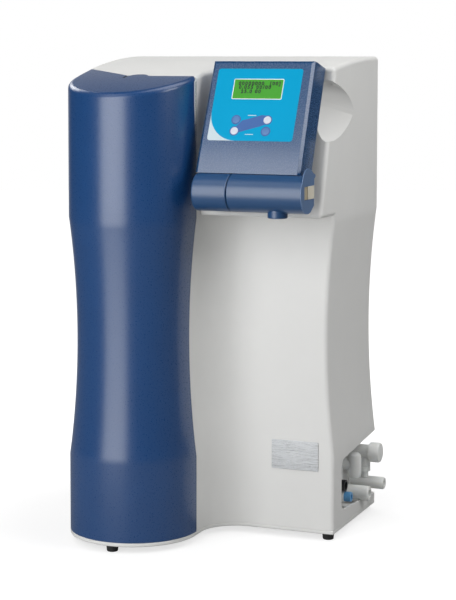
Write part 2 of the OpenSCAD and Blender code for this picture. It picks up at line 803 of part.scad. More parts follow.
module bay_tray() color(white) difference() {
  intersection() {
    box([bay_wall_x - wall, bay_front_y - wall, bay_low - wall], [right_x, back_y, bay_high + wall]);
    linear_extrude(body_h) block_plan(wall + nest);
  }
  box([bay_wall_x, bay_front_y, bay_low], [right_x + far, back_y + far, bay_high]);
  along_x(stack_y, lower_port_z, lower_port_r - 1.5 + nest, port_root_x - 1, bay_wall_x + 1);
  along_x(drain_y, drain_z, drain_r - 2 + nest, port_root_x - 1, bay_wall_x + 1);
  along_x(check_y, check_z, 8 + nest, port_root_x - 1, bay_wall_x + 1);
  along_x(feed_y, feed_z, feed_r - 2 + nest, port_root_x - 1, bay_wall_x + 1);
  along_x(socket_y, socket_z, 6 + nest, port_root_x - 1, bay_wall_x + 1);
  box([port_root_x, signal_y - 5 - nest, signal_z - 10 - nest],
      [bay_wall_x + 1, signal_y + 5 + nest, signal_z + 10 + nest]);
}

// Lower stacked port: through the wall, out to the hose, with a stem up to the collar
module lower_port() color(natural) difference() {
  union() {
    along_x(stack_y, lower_port_z, lower_port_r - 1.5, port_root_x, bay_wall_x + 1);
    along_x(stack_y, lower_port_z, lower_port_r - 0.7, bay_wall_x + nest, right_x);
    along_x(stack_y, lower_port_z, lower_port_r, right_x, right_x + port_reach - 1.2);
    along_x(stack_y, lower_port_z, lower_port_r - 1, right_x + port_reach - 1.2, right_x + port_reach);
    translate([stack_x, stack_y, lower_port_z]) cylinder(r = 4.7, h = 18.5);
  }
  along_x(stack_y, lower_port_z, lower_bore_r, right_x - 14, right_x + port_reach + 1, 48);
}

module union_collar() color("#f4f4f2") translate([stack_x, stack_y, lower_port_z + 18.5 + nest])
  cylinder(r = 5.6, h = collar_h);

collar_h = 5;
collar_top = lower_port_z + 18.5 + nest + collar_h;

module upper_port() color(natural) {
  translate([stack_x, stack_y, collar_top + nest]) cylinder(r = 7.5, h = upper_port_z - collar_top);
  along_x(stack_y, upper_port_z, 9.6, stack_x - 16, right_x + 2);
}

module upper_port_cap() color(natural)
  translate([right_x + 2 + nest, stack_y, upper_port_z]) rotate([0, 90, 0]) rotate_extrude()
    polygon([[0, 0], [upper_cap_r, 0], [upper_cap_r, 12], [upper_cap_r - 1, 14],
             [upper_cap_r - 3, 15], [0, 15]]);

module check_valve() color(natural) {
  along_x(check_y, check_z, 8, port_root_x, bay_wall_x + 1);
  along_x(check_y, check_z, 12, bay_wall_x + nest, bay_wall_x + 12);
  translate([bay_wall_x + 12, check_y, check_z]) sphere(r = 12, $fn = 64);
}

module drain_port() color(natural) difference() {
  union() {
    along_x(drain_y, drain_z, drain_r - 2, port_root_x, bay_wall_x + 1);
    along_x(drain_y, drain_z, drain_r, bay_wall_x + nest, right_x + 10);
    along_x(drain_y, drain_z, drain_r - 1, right_x + 10, right_x + 11);
  }
  along_x(drain_y, drain_z, drain_bore_r, right_x - 14, right_x + 12, 48);
}

module feed_port() color(white) difference() {
  union() {
    along_x(feed_y, feed_z, feed_r - 2, port_root_x, bay_wall_x + 1);
    along_x(feed_y, feed_z, feed_r, bay_wall_x + nest, bay_wall_x + 9);
  }
  along_x(feed_y, feed_z, feed_bore_r, bay_wall_x - 6, bay_wall_x + 10, 48);
}

module feed_collet() color("#2f6fb4") difference() {
  along_x(feed_y, feed_z, feed_r - 1.6, bay_wall_x + 9 + nest, bay_wall_x + 13);
  along_x(feed_y, feed_z, feed_bore_r + 0.4, bay_wall_x + 9, bay_wall_x + 14, 48);
}

module power_socket() color(black) difference() {
  union() {
    along_x(socket_y, socket_z, 6, port_root_x, bay_wall_x + 1);
    along_x(socket_y, socket_z, 8, bay_wall_x + nest, bay_wall_x + 10);
  }
  along_x(socket_y, socket_z, 5.5, bay_wall_x + 2, bay_wall_x + 11);
}

module signal_socket() color(steel) difference() {
  union() {
    box([port_root_x, signal_y - 5, signal_z - 10], [bay_wall_x + nest, signal_y + 5, signal_z + 10]);
    box([bay_wall_x + nest, signal_y - 7, signal_z - 15], [bay_wall_x + 2, signal_y + 7, signal_z + 15]);
    box([bay_wall_x + 2, signal_y - 5, signal_z - 9], [bay_wall_x + 8, signal_y + 5, signal_z + 9]);
  }
  box([bay_wall_x + 3, signal_y - 4, signal_z - 8], [bay_wall_x + 9, signal_y + 4, signal_z + 8]);
}

// Ring nuts and seals behind the tray wall
module port_seals() color(black)
  for (p = [[stack_y, lower_port_z, lower_port_r - 1.5], [drain_y, drain_z, drain_r - 2],
            [check_y, check_z, 8], [feed_y, feed_z, feed_r - 2]])
    difference() {
      along_x(p[0], p[1], p[2] + 3, bay_wall_x - wall - 3, bay_wall_x - wall - nest);
      along_x(p[0], p[1], p[2] + nest, bay_wall_x - wall - 4, bay_wall_x);
    }

// Equipment plate: a bent sheet that stands on the base plate and carries what is inside
sheet_y = panel_y + sheet_set;
sheet_back = sheet_y + sheet_t;
sheet_x0 = left_side_x(sheet_y, 0) + wall + waist_depth + 6;
sheet_x1 = bay_wall_x - wall - 4;
sheet_top = dome_z(sheet_y) - wall - 24;
foot_flange = 18;

module equipment_plate() color(steel) difference() {
  union() {
    box([sheet_x0, sheet_y, deck_z], [sheet_x1, sheet_back, sheet_top]);
    box([sheet_x0, sheet_y, deck_z], [sheet_x1, sheet_y + foot_flange, deck_z + sheet_t]);
  }
  for (x = [head_in_x, head_out_x]) along_y(x, head_tube_z, tube_r + 1.5, sheet_y - 1, sheet_back + 1, 32);
  along_y(arm_x, barrel_z, tube_r + 1.5, sheet_y - 1, sheet_back + 1, 32);
}

// Cartridge bay
cartridge_y = cover_y + 8;
cradle_r = cartridge_r + 4;
cradle_h = 30;
cartridge_z = deck_z + 5;
cartridge_top = cartridge_z + cartridge_h;
head_block_h = 34;
head_tube_z = cartridge_top + head_block_h / 2;
head_in_x = cover_x - 20;
head_out_x = cover_x + 20;

module cartridge_cradle() color(white) translate([cover_x, cartridge_y, deck_z]) difference() {
  cylinder(r = cradle_r, h = cradle_h);
  translate([0, 0, cartridge_z - deck_z]) cylinder(r = cartridge_r + 2 * nest, h = cradle_h);
}

module polishing_cartridge() color("#eceef0")
  translate([cover_x, cartridge_y, cartridge_z + nest]) rotate_extrude()
    polygon([
      [0, 0], [cartridge_r, 0], [cartridge_r, 34], [cartridge_r - 2, 36],
      [cartridge_r - 2, cartridge_h - 30], [cartridge_r, cartridge_h - 28], [cartridge_r, cartridge_h - 6],
      [cartridge_r - 6, cartridge_h - nest], [0, cartridge_h - nest]
    ]);

module cartridge_head() color("#4a5560") difference() {
  union() {
    translate([cover_x, cartridge_y, cartridge_top]) cylinder(r = 44, h = head_block_h);
    box([cover_x - 36, cartridge_y, cartridge_top],
        [cover_x + 36, sheet_y - nest, cartridge_top + head_block_h]);
  }
  for (x = [head_in_x, head_out_x]) along_y(x, head_tube_z, tube_r + 0.9, sheet_y - 22, sheet_y + 1, 32);
}

// Ultraviolet chamber, with its lamp, caps and clamps
uv_x = sheet_x1 - uv_r - 14;
uv_y = sheet_back + uv_r + 15;
uv_z = 205;
uv_cap_h = 16;

module uv_chamber() color(steel) translate([uv_x, uv_y, uv_z]) difference() {
  cylinder(r = uv_r, h = uv_l);
  translate([0, 0, -1]) cylinder(r = uv_r - 1.5, h = uv_l + 2);
}

module uv_caps() color(black) for (end = [0, 1])
  translate([uv_x, uv_y, end == 0 ? uv_z - uv_cap_h - nest : uv_z + uv_l + nest]) difference() {
    cylinder(r = uv_r + 3, h = uv_cap_h);
    translate([0, 0, -1]) cylinder(r = 8 + nest, h = uv_cap_h + 2);
  }

module uv_lamp() color("#dfe8ee") translate([uv_x, uv_y, uv_z - uv_cap_h - 6])
  cylinder(r = 8, h = uv_l + 2 * uv_cap_h + 12);

module pipe_clamps(x, y, r, heights) for (z = heights) difference() {
  box([x - 12, sheet_back + nest, z - 8], [x + 12, y, z + 8]);
  translate([x, y, z - 9]) cylinder(r = r + nest, h = 18);
}

module uv_clamps() color(black) pipe_clamps(uv_x, uv_y, uv_r, [uv_z + 50, uv_z + uv_l - 28]);

// Ultrafilter, its clamps and the conductivity cell at its foot
filter_x = uv_x - 66;
filter_y = sheet_back + filter_r + 14;
filter_z = 215;

module ultrafilter() color("#e3e8ea") translate([filter_x, filter_y, filter_z]) rotate_extrude()
  polygon([[0, -16], [filter_r + 3, -16], [filter_r + 3, 0], [filter_r, 0.5], [filter_r, filter_l - 0.5],
           [filter_r + 3, filter_l], [filter_r + 3, filter_l + 16], [0, filter_l + 16]]);

module filter_clamps() color(black)
  pipe_clamps(filter_x, filter_y, filter_r, [filter_z + 45, filter_z + filter_l - 45]);

cell_h = 30;
cell_z = filter_z - 16 - nest - cell_h;
module conductivity_cell() color("#30343a")
  translate([filter_x, filter_y, cell_z]) cylinder(r = 9, h = cell_h);

// Pump on its mount
pump_y = sheet_back + 62;
pump_z = deck_z + motor_r + 10;
pump_x0 = -36;
pump_x1 = pump_x0 + motor_l;

module pump_mount() color(black) difference() {
  box([pump_x0 + 8, pump_y - 24, deck_z], [pump_x1 + 36, pump_y + 24, pump_z - 8]);
  along_x(pump_y, pump_z, motor_r + nest, pump_x0 - 1, pump_x1 + nest);
  box([pump_x1 - nest, pump_y - 36, deck_z + 8], [pump_x1 + 60, pump_y + 36, pump_z]);
}

module pump_motor() color("#5c6268") along_x(pump_y, pump_z, motor_r, pump_x0, pump_x1);

module pump_head() color("#2c2f33") {
  box([pump_x1 + nest, pump_y - 32, deck_z + 8 + nest], [pump_x1 + 38, pump_y + 32, pump_z + 32]);
  for (y = [-18, 18]) translate([pump_x1 + 19, pump_y + y, pump_z + 32]) cylinder(r = 6, h = 12);
}

// Feed valve on the plate
feed_valve_x = uv_x - 18;
feed_valve_z = 122;
module feed_valve() color("#3a3d42") {
  box([feed_valve_x - 16, sheet_back + nest, feed_valve_z],
      [feed_valve_x + 16, sheet_back + 32, feed_valve_z + 26]);
  translate([feed_valve_x, sheet_back + 16, feed_valve_z + 26]) cylinder(r = 13, h = 26);
}

// Electronics on the plate
board_x0 = sheet_x0 + 8;
board_z0 = 120;
board_w = 118;
board_h = 170;
board_t = 1.6;
board_gap = 8;
chip_pitch = 22;
supply_h = 138;

module control_board() color("#1f5a36") {
  y0 = sheet_back + board_gap;
  y1 = y0 + board_t;
  box([board_x0, y0, board_z0], [board_x0 + board_w, y1, board_z0 + board_h]);
  for (x = [8, board_w - 8]) for (z = [8, board_h - 8])
    along_y(board_x0 + x, board_z0 + z, 3, sheet_back + nest, y0, 32);
  for (i = [1:6])
    box([board_x0 + 10, y1, board_z0 + i * chip_pitch],
        [board_x0 + 24, y1 + 12.4, board_z0 + i * chip_pitch + 16]);
  box([board_x0 + 44, y1, board_z0 + 50], [board_x0 + 92, y1 + 4.4, board_z0 + 98]);
}

module power_supply() color("#9da1a5")
  box([board_x0 + 6, sheet_back + nest, board_z0 + board_h + 10],
      [board_x0 + 106, sheet_back + 44, board_z0 + board_h + 10 + supply_h]);

// Water tubes: round hoses that follow smooth curves through chosen points
tube_sides = 8;
tube_steps = 4;

function spline(p, i, t) = let(
    a = p[max(i - 1, 0)], b = p[i], c = p[i + 1], d = p[min(i + 2, len(p) - 1)])
  0.5 * (2 * b + (c - a) * t + (2 * a - 5 * b + 4 * c - d) * t * t + (3 * b - a - 3 * c + d) * t * t * t);
function route(p) = concat(
  [for (i = [0:len(p) - 2]) for (s = [0:tube_steps - 1]) spline(p, i, s / tube_steps)], [p[len(p) - 1]]);
function unit(v) = v / norm(v);
function heading(q, i) = unit(q[min(i + 1, len(q) - 1)] - q[max(i - 1, 0)]);

module tube(points, side) {
  q = route(points);
  n = len(q);
  rings = [for (i = [0:n - 1]) let(h = heading(q, i), u = unit(cross(h, side)), v = cross(h, u))
    for (k = [0:tube_sides - 1]) let(a = 360 * k / tube_sides) q[i] + tube_r * (u * cos(a) + v * sin(a))];
  walls = [for (i = [0:n - 2]) for (k = [0:tube_sides - 1]) let(
      a = i * tube_sides + k, b = i * tube_sides + (k + 1) % tube_sides)
    each [[a, a + tube_sides, b], [b, a + tube_sides, b + tube_sides]]];
  first = [for (k = [1:tube_sides - 2]) [0, k, k + 1]];
  end = (n - 1) * tube_sides;
  last = [for (k = [1:tube_sides - 2]) [end, end + k + 1, end + k]];
  polyhedron(rings, concat(walls, first, last));
}

// Tubes end just short of the faces they plug on to
tube_end = 0.9;
inlet_top = pump_z + 44 + tube_end;
pump_port_x = pump_x1 + 19;
valve_port_y = sheet_back + 16;
valve_port_z = feed_valve_z + 12;
uv_port_x = uv_x - 14;
uv_low = uv_z - uv_cap_h - nest - tube_end;
uv_high = uv_z + uv_l + uv_cap_h + nest + tube_end;
cell_low = cell_z - tube_end;
filter_high = filter_z + filter_l + 16 + tube_end;

module water_tubes() color("#e8ecee") {
  // Feed port to the feed valve
  tube([[port_root_x - tube_end, feed_y, feed_z], [port_root_x - 12, feed_y, feed_z],
        [109, 68, 50], [108, 50, 100], [104, valve_port_y + 1, valve_port_z - 2],
        [feed_valve_x + 16 + tube_end, valve_port_y, valve_port_z]], [0, 1, 0.2]);
  // Feed valve to the pump
  tube([[feed_valve_x - 16 - tube_end, valve_port_y, valve_port_z], [46, valve_port_y, valve_port_z],
        [40, 38, 122], [pump_port_x - 14, pump_y - 19, 120],
        [pump_port_x, pump_y - 18, inlet_top + 16], [pump_port_x, pump_y - 18, inlet_top]], [0.2, 1, 0.1]);
  // Pump to the cartridge head
  tube([[pump_port_x, pump_y + 18, inlet_top], [pump_port_x, pump_y + 18, inlet_top + 14],
        [pump_port_x - 12, pump_y + 20, inlet_top + 38], [8, 100, 190], [-30, 90, 300], [-24, 84, 440],
        [head_in_x + 50, 70, head_tube_z + 14], [head_in_x + 8, 40, head_tube_z + 4],
        [head_in_x, 16, head_tube_z], [head_in_x, 0, head_tube_z],
        [head_in_x, sheet_y - 20, head_tube_z]], [0.1, 1, 0.5]);
  // Cartridge head to the foot of the ultraviolet chamber
  tube([[head_out_x, sheet_y - 20, head_tube_z], [head_out_x, 0, head_tube_z], [head_out_x, 16, head_tube_z],
        [head_out_x + 8, 36, head_tube_z - 12], [-12, 62, 420], [-8, 80, 300], [30, 94, 196],
        [uv_x - 34, uv_y + 26, 160], [uv_port_x - 4, uv_y + 8, 154],
        [uv_port_x, uv_y, uv_low - 18], [uv_port_x, uv_y, uv_low]], [0.1, 1, 0.4]);
  // Chamber to the ultrafilter
  tube([[uv_port_x, uv_y, uv_high], [uv_port_x, uv_y, uv_high + 16], [60, uv_y - 2, uv_high + 34],
        [36, filter_y + 1, 540], [filter_x, filter_y, filter_high + 16],
        [filter_x, filter_y, filter_high]], [0, 1, 0]);
  // Conductivity cell to the dispensing valve
  tube([[filter_x, filter_y, cell_low], [filter_x, filter_y, cell_low - 12], [40, 38, 142], [57, 24, 200],
        [58, 22, 330], [58, 22, 420], [64, 23, 440], [arm_x - 8, 23, barrel_z - 1], [arm_x, 14, barrel_z],
        [arm_x, 0, barrel_z], [arm_x, head_y, barrel_z],
        [arm_x, barrel_y + spindle_r + 4, barrel_z]], [1, 0.2, 0.1]);
}

housing_shell();
rear_panel();
rear_screws();
base_plate();
rubber_feet();
front_plate();
front_cover();
cover_studs();
cover_clips();
console_front();
console_back();
console_bracket();
key_film();
lcd_frame();
lcd_glass();
display_board();
lower_left_key();
upper_left_key();
upper_right_key();
lower_right_key();
outlet_barrel();
barrel_end_plate();
locking_tab();
dispense_knob();
knob_spindle();
dispense_valve();
outlet_nozzle();
bay_tray();
lower_port();
union_collar();
upper_port();
upper_port_cap();
check_valve();
drain_port();
feed_port();
feed_collet();
power_socket();
signal_socket();
port_seals();
equipment_plate();
cartridge_cradle();
polishing_cartridge();
cartridge_head();
uv_chamber();
uv_caps();
uv_lamp();
uv_clamps();
ultrafilter();
filter_clamps();
conductivity_cell();
pump_mount();
pump_motor();
pump_head();
feed_valve();
control_board();
power_supply();
water_tubes();
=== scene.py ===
"""Looks of a bench-top laboratory water purification unit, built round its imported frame.

Sizes are in millimetres while a piece is drawn, and become metres when the piece is placed.
"""

from __future__ import annotations

import json
import logging
import math
from dataclasses import dataclass
from enum import Enum
from typing import Callable, Iterable, Optional, Sequence

import bmesh
import bpy
from bmesh.types import BMEdge, BMesh, BMFace, BMVert
from mathutils import Matrix, Vector


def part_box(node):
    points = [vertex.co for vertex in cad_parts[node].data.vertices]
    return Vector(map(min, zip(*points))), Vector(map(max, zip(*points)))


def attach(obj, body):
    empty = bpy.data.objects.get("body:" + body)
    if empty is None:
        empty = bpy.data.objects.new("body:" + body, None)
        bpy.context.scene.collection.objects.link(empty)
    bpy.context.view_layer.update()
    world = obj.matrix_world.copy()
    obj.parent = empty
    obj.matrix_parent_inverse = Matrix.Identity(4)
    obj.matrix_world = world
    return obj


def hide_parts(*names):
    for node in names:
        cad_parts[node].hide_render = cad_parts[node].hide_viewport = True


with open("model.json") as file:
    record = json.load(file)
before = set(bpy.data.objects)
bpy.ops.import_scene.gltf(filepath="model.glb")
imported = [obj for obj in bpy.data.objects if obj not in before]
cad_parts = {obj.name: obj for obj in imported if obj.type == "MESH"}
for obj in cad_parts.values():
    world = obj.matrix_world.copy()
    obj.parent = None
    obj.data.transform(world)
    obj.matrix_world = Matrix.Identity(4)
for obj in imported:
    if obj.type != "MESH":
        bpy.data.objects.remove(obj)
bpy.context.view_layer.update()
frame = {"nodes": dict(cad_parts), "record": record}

LOG = logging.getLogger("water_unit")
MM = 0.001
IMAGE_H = 600
Point = Sequence[float]
Socket = bpy.types.NodeSocket

# How a flat drawing (u, v) lies: seen from above, from the side as (y, z), or on the face as (x, z).
PLAN = Matrix.Identity(4)
SIDE = Matrix(((0, 0, 1, 0), (1, 0, 0, 0), (0, 1, 0, 0), (0, 0, 0, 1)))
FACE = Matrix(((1, 0, 0, 0), (0, 0, -1, 0), (0, 1, 0, 0), (0, 0, 0, 1)))


class Body(str, Enum):
    """The bodies that pieces ride on."""

    HOUSING = "housing"
    COVER = "cover"
    KNOB = "knob"


class Cut(str, Enum):
    """How one solid acts on another."""

    JOIN = "UNION"
    REMOVE = "DIFFERENCE"


class Turn(Enum):
    """The line that a turned piece is turned about."""

    ALONG_X = (1.0, 0.0, 0.0)
    ALONG_Z = (0.0, 0.0, 1.0)


class Grain(Enum):
    """How a surface was made, which sets the shape of its fine texture."""

    MOULDED = (1.0, 1.0, 1.0)
    BRUSHED_X = (0.02, 1.0, 1.0)
    BRUSHED_Z = (1.0, 1.0, 0.02)
    DRAWN_Z = (1.0, 1.0, 0.08)


def linear(colour: str) -> tuple[float, float, float, float]:
    """Turns an sRGB hex colour to linear light.

    Args:
        colour: six hex digits after a hash sign.

    Returns:
        Red, green, blue and alpha.
    """
    parts = [int(colour[i : i + 2], 16) / 255 for i in (1, 3, 5)]
    light = [c / 12.92 if c <= 0.04045 else ((c + 0.055) / 1.055) ** 2.4 for c in parts]
    return (*light, 1.0)


def blank_tree(owner: bpy.types.Material | bpy.types.World) -> bpy.types.NodeTree:
    """Empties the node tree of a material or a world.

    Args:
        owner: the material or world.

    Returns:
        The empty tree.
    """
    owner.use_nodes = True
    owner.node_tree.nodes.clear()
    return owner.node_tree


def add_node(
    tree: bpy.types.NodeTree, kind: str, inputs: Optional[dict] = None, **settings: object
) -> bpy.types.Node:
    """Adds one shader node.

    Args:
        tree: the node tree that gets the node.
        kind: the node's type name, without its prefix.
        inputs: plain values, or output sockets to join, for its input sockets, by name or number.
        settings: attributes to set on the node.

    Returns:
        The new node.
    """
    node = tree.nodes.new("ShaderNode" + kind)
    for key, value in settings.items():
        setattr(node, key, value)
    for key, value in (inputs or {}).items():
        if isinstance(value, Socket):
            tree.links.new(value, node.inputs[key])
        else:
            node.inputs[key].default_value = value
    return node


@dataclass(frozen=True)
class Finish:
    """A surface: what it is made of, and what that gives the eye."""

    name: str
    slot: str
    colour: str
    shade: str
    roughness: float
    grain_mm: float
    grain_depth_mm: float
    grain: Grain = Grain.MOULDED
    patch_mm: float = 45.0
    spread: float = 0.05
    metallic: float = 0.0
    ior: float = 1.5
    coat: float = 0.0
    subsurface_mm: float = 0.0
    see_through: float = 0.0
    glow: float = 0.0

    def material(self) -> bpy.types.Material:
        """Makes the material, or returns it if it has been made.

        Returns:
            The material.
        """
        made = bpy.data.materials.get(self.name)
        if made:
            return made
        made = bpy.data.materials.new(self.name)
        tree = blank_tree(made)
        place = add_node(tree, "TexCoord").outputs["Object"]
        coarse = {"Vector": place, "Scale": 1 / (self.patch_mm * MM), "Detail": 3.0, "Roughness": 0.55}
        patches = add_node(tree, "TexNoise", coarse).outputs["Fac"]
        shades = {0: patches, 6: linear(self.shade), 7: linear(self.colour)}
        tint = add_node(tree, "Mix", shades, data_type="RGBA").outputs[2]
        stretched = add_node(tree, "Mapping", {"Vector": place, "Scale": self.grain.value}).outputs["Vector"]
        fine = {"Vector": stretched, "Scale": 1 / (self.grain_mm * MM), "Detail": 2.0, "Roughness": 0.6}
        grain = add_node(tree, "TexNoise", fine).outputs["Fac"]
        dull = {"Value": grain, "From Min": 0.25, "From Max": 0.75}
        dull["To Min"] = max(self.roughness - self.spread, 0.02)
        dull["To Max"] = min(self.roughness + self.spread, 1.0)
        bump = {"Height": grain, "Strength": 1.0, "Distance": self.grain_depth_mm * MM}
        look = {
            "Base Color": tint,
            "Roughness": add_node(tree, "MapRange", dull).outputs["Result"],
            "Normal": add_node(tree, "Bump", bump).outputs["Normal"],
            "Metallic": self.metallic,
            "IOR": self.ior,
            "Coat Weight": self.coat,
            "Coat Roughness": 0.12,
            "Transmission Weight": self.see_through,
        }
        if self.subsurface_mm:
            look |= {"Subsurface Weight": 0.35, "Subsurface Radius": (1.0, 0.95, 0.85)}
            look["Subsurface Scale"] = self.subsurface_mm * MM
        if self.glow:
            look |= {"Emission Color": linear(self.colour), "Emission Strength": self.glow}
        shader = add_node(tree, "BsdfPrincipled", look).outputs["BSDF"]
        add_node(tree, "OutputMaterial", {"Surface": shader})
        return made


# Blue ABS, moulded smooth: a satin sheen with soft-edged highlights.
BLUE_SHELL = Finish("blue_abs_moulded_satin", "blue_shell", "#144174", "#123c6d", 0.3, 1.4, 0.003, ior=1.7)
# The console's case is the same blue with a fine spark texture, which breaks up what it mirrors.
BLUE_CASE = Finish("blue_abs_moulded_dull", "blue_shell", "#164572", "#14406b", 0.27, 1.2, 0.005, ior=1.7)
# The barrel, knob and nozzle: the same blue, duller still, with a broad soft shine.
BLUE_BARREL = Finish("blue_abs_turned_dull", "blue_shell", "#164572", "#14406b", 0.36, 1.2, 0.005, ior=1.7)
# The end plate is the same blue with a coarser grain, painted paler as a painted reflection of the bright
# backdrop it faces.
BLUE_END_PAINTED_REFLECTION = Finish("blue_abs_painted_reflection", "blue_shell", "#546f95", "#4f698d", 0.42, 1.0, 0.015, ior=1.6)
# White ABS, moulded with a fine matt texture: soft shading and hardly any gloss.
WHITE_SHELL = Finish("white_abs_moulded_matt", "white_shell", "#dfdfdd", "#dadad8", 0.5, 1.6, 0.03, ior=1.45)
# Natural polypropylene, turned and moulded: milky, with light bleeding through thin edges.
NATURAL_POLYMER = Finish(
    "natural_polypropylene_moulded",
    "natural_polymer", "#ecedeb", "#e2e4e2", 0.38, 3.0, 0.02, subsurface_mm=4.0,
)
# Bright white acetal, turned: clean and slightly glossy.
WHITE_POLYMER = Finish("white_acetal_turned", "white_polymer", "#f2f4f2", "#eceeec", 0.3, 2.0, 0.01)
# Ink under polyester film: even colour with a faint pebble on the film.
CYAN_PRINT = Finish("cyan_print_polyester_film", "film", "#0099c6", "#0094c0", 0.38, 0.9, 0.012, ior=1.15)
WHITE_PRINT = Finish("white_print_polyester_film", "film", "#c6d3d9", "#bfccd2", 0.38, 0.9, 0.012, ior=1.15)
VIOLET_PRINT = Finish("violet_print_polyester_film", "film", "#4a6aa4", "#46659e", 0.38, 0.9, 0.012, ior=1.15)
# Character display behind glass: green backlight, dark green segments.
LCD_GREEN = Finish("backlit_green_display_glass", "display", "#40972a", "#3c9127", 0.2, 0.6, 0.004, glow=0.08)
LCD_INK = Finish("dark_green_display_segments", "display", "#052407", "#041f06", 0.3, 0.6, 0.003)
# Embossed polyester keys: low domes with a soft shine.
KEY_WHITE = Finish("white_embossed_polyester_key", "key_white", "#c9cedb", "#c2c7d3", 0.38, 0.8, 0.01)
KEY_VIOLET = Finish("violet_embossed_polyester_key", "key_violet", "#4a76ae", "#4570a6", 0.34, 0.8, 0.01)
# Acetal tab, moulded: warm and matt; its sunk root is painted a deeper beige, which is painted shade in the
# recess.
CREAM_TAB = Finish("cream_acetal_moulded", "lock_tab", "#d6d0c0", "#c9c2b0", 0.42, 1.5, 0.02)
TAB_PAINTED_SHADE = Finish("beige_acetal_painted_shade", "lock_tab", "#b3a78f", "#a69a82", 0.45, 1.5, 0.02)
# Stainless plate, brushed along its length: streaks and long soft reflections.
BRUSHED_STEEL = Finish(
    "stainless_sheet_brushed",
    "sheet_steel", "#d9dbdd", "#c3c6c9", 0.3, 0.35, 0.006, Grain.BRUSHED_X, 30.0, 0.1, metallic=1.0,
)
# Black rubber, moulded: dull and dusty.
RUBBER = Finish("black_rubber_moulded", "rubber", "#191a1b", "#222324", 0.72, 1.6, 0.04)
# Black nylon, moulded: dark, with a faint sheen.
BLACK_POLYMER = Finish("black_nylon_moulded", "black_polymer", "#1c1d20", "#232528", 0.45, 1.2, 0.03)
# Blue acetal, moulded: clean and slightly glossy.
BLUE_COLLET = Finish("blue_acetal_collet", "blue_collet", "#5f9fd2", "#5896c8", 0.3, 1.5, 0.01)

INNER_FINISHES = (
    # Zinc plated steel: grey, slightly blotched.
    Finish(
        "steel_zinc_plated",
        "screw_steel", "#b9bcbf", "#a4a8ac", 0.34, 2.5, 0.005, patch_mm=6.0, metallic=1.0,
    ),
    # Drawn stainless tube, polished: bright, with long streaks.
    Finish(
        "stainless_tube_polished",
        "bright_steel", "#cfd2d4", "#bfc3c6", 0.16, 0.5, 0.004, Grain.DRAWN_Z, 25.0, 0.05, metallic=1.0,
    ),
    # Folded aluminium, anodised: grey and softly streaked.
    Finish(
        "aluminium_case_anodised",
        "metal_case", "#a9acb0", "#9a9da1", 0.4, 0.5, 0.005, Grain.BRUSHED_Z, 30.0, 0.08, metallic=1.0,
    ),
    # Dark grey nylon, moulded: dull, with a faint sheen.
    Finish("dark_grey_nylon_moulded", "grey_polymer", "#474e57", "#3f464e", 0.45, 1.2, 0.03),
    # White polypropylene, moulded: clean and even.
    Finish("white_polypropylene_cartridge", "cartridge", "#e9ebec", "#dfe2e3", 0.4, 2.0, 0.02),
    # Glass-fibre board under green lacquer: dark, with a clear gloss on top.
    Finish("green_glass_fibre_board", "circuit", "#1d5b38", "#184f30", 0.35, 0.9, 0.01, coat=0.3),
    # Grey paint on steel: smooth, with a soft shine.
    Finish("grey_paint_on_steel", "motor_paint", "#5e646b", "#565c63", 0.4, 1.4, 0.02),
    # Quartz sleeve: clear and sharp.
    Finish("quartz_sleeve_clear", "lamp_glass", "#e6edf2", "#dde6ec", 0.08, 3.0, 0.003, see_through=0.7),
    # Polyethylene tube: milky and waxy.
    Finish("clear_polyethylene_tube", "clear_tube", "#dfe5e6", "#d4dcdd", 0.3, 2.0, 0.008, subsurface_mm=2.0),
)


def stowed(mesh: BMesh, name: str) -> bpy.types.Mesh:
    """Stores a drawn mesh as mesh data, and frees it.

    Args:
        mesh: the drawn mesh.
        name: name of the data.

    Returns:
        The data.
    """
    data = bpy.data.meshes.new(name)
    mesh.to_mesh(data)
    mesh.free()
    return data


def linked(name: str, data: bpy.types.ID) -> bpy.types.Object:
    """Adds an object to the scene, at the origin.

    Args:
        name: its name.
        data: its mesh, lamp, camera or text.

    Returns:
        The object.
    """
    made = bpy.data.objects.new(name, data)
    bpy.context.scene.collection.objects.link(made)
    return made


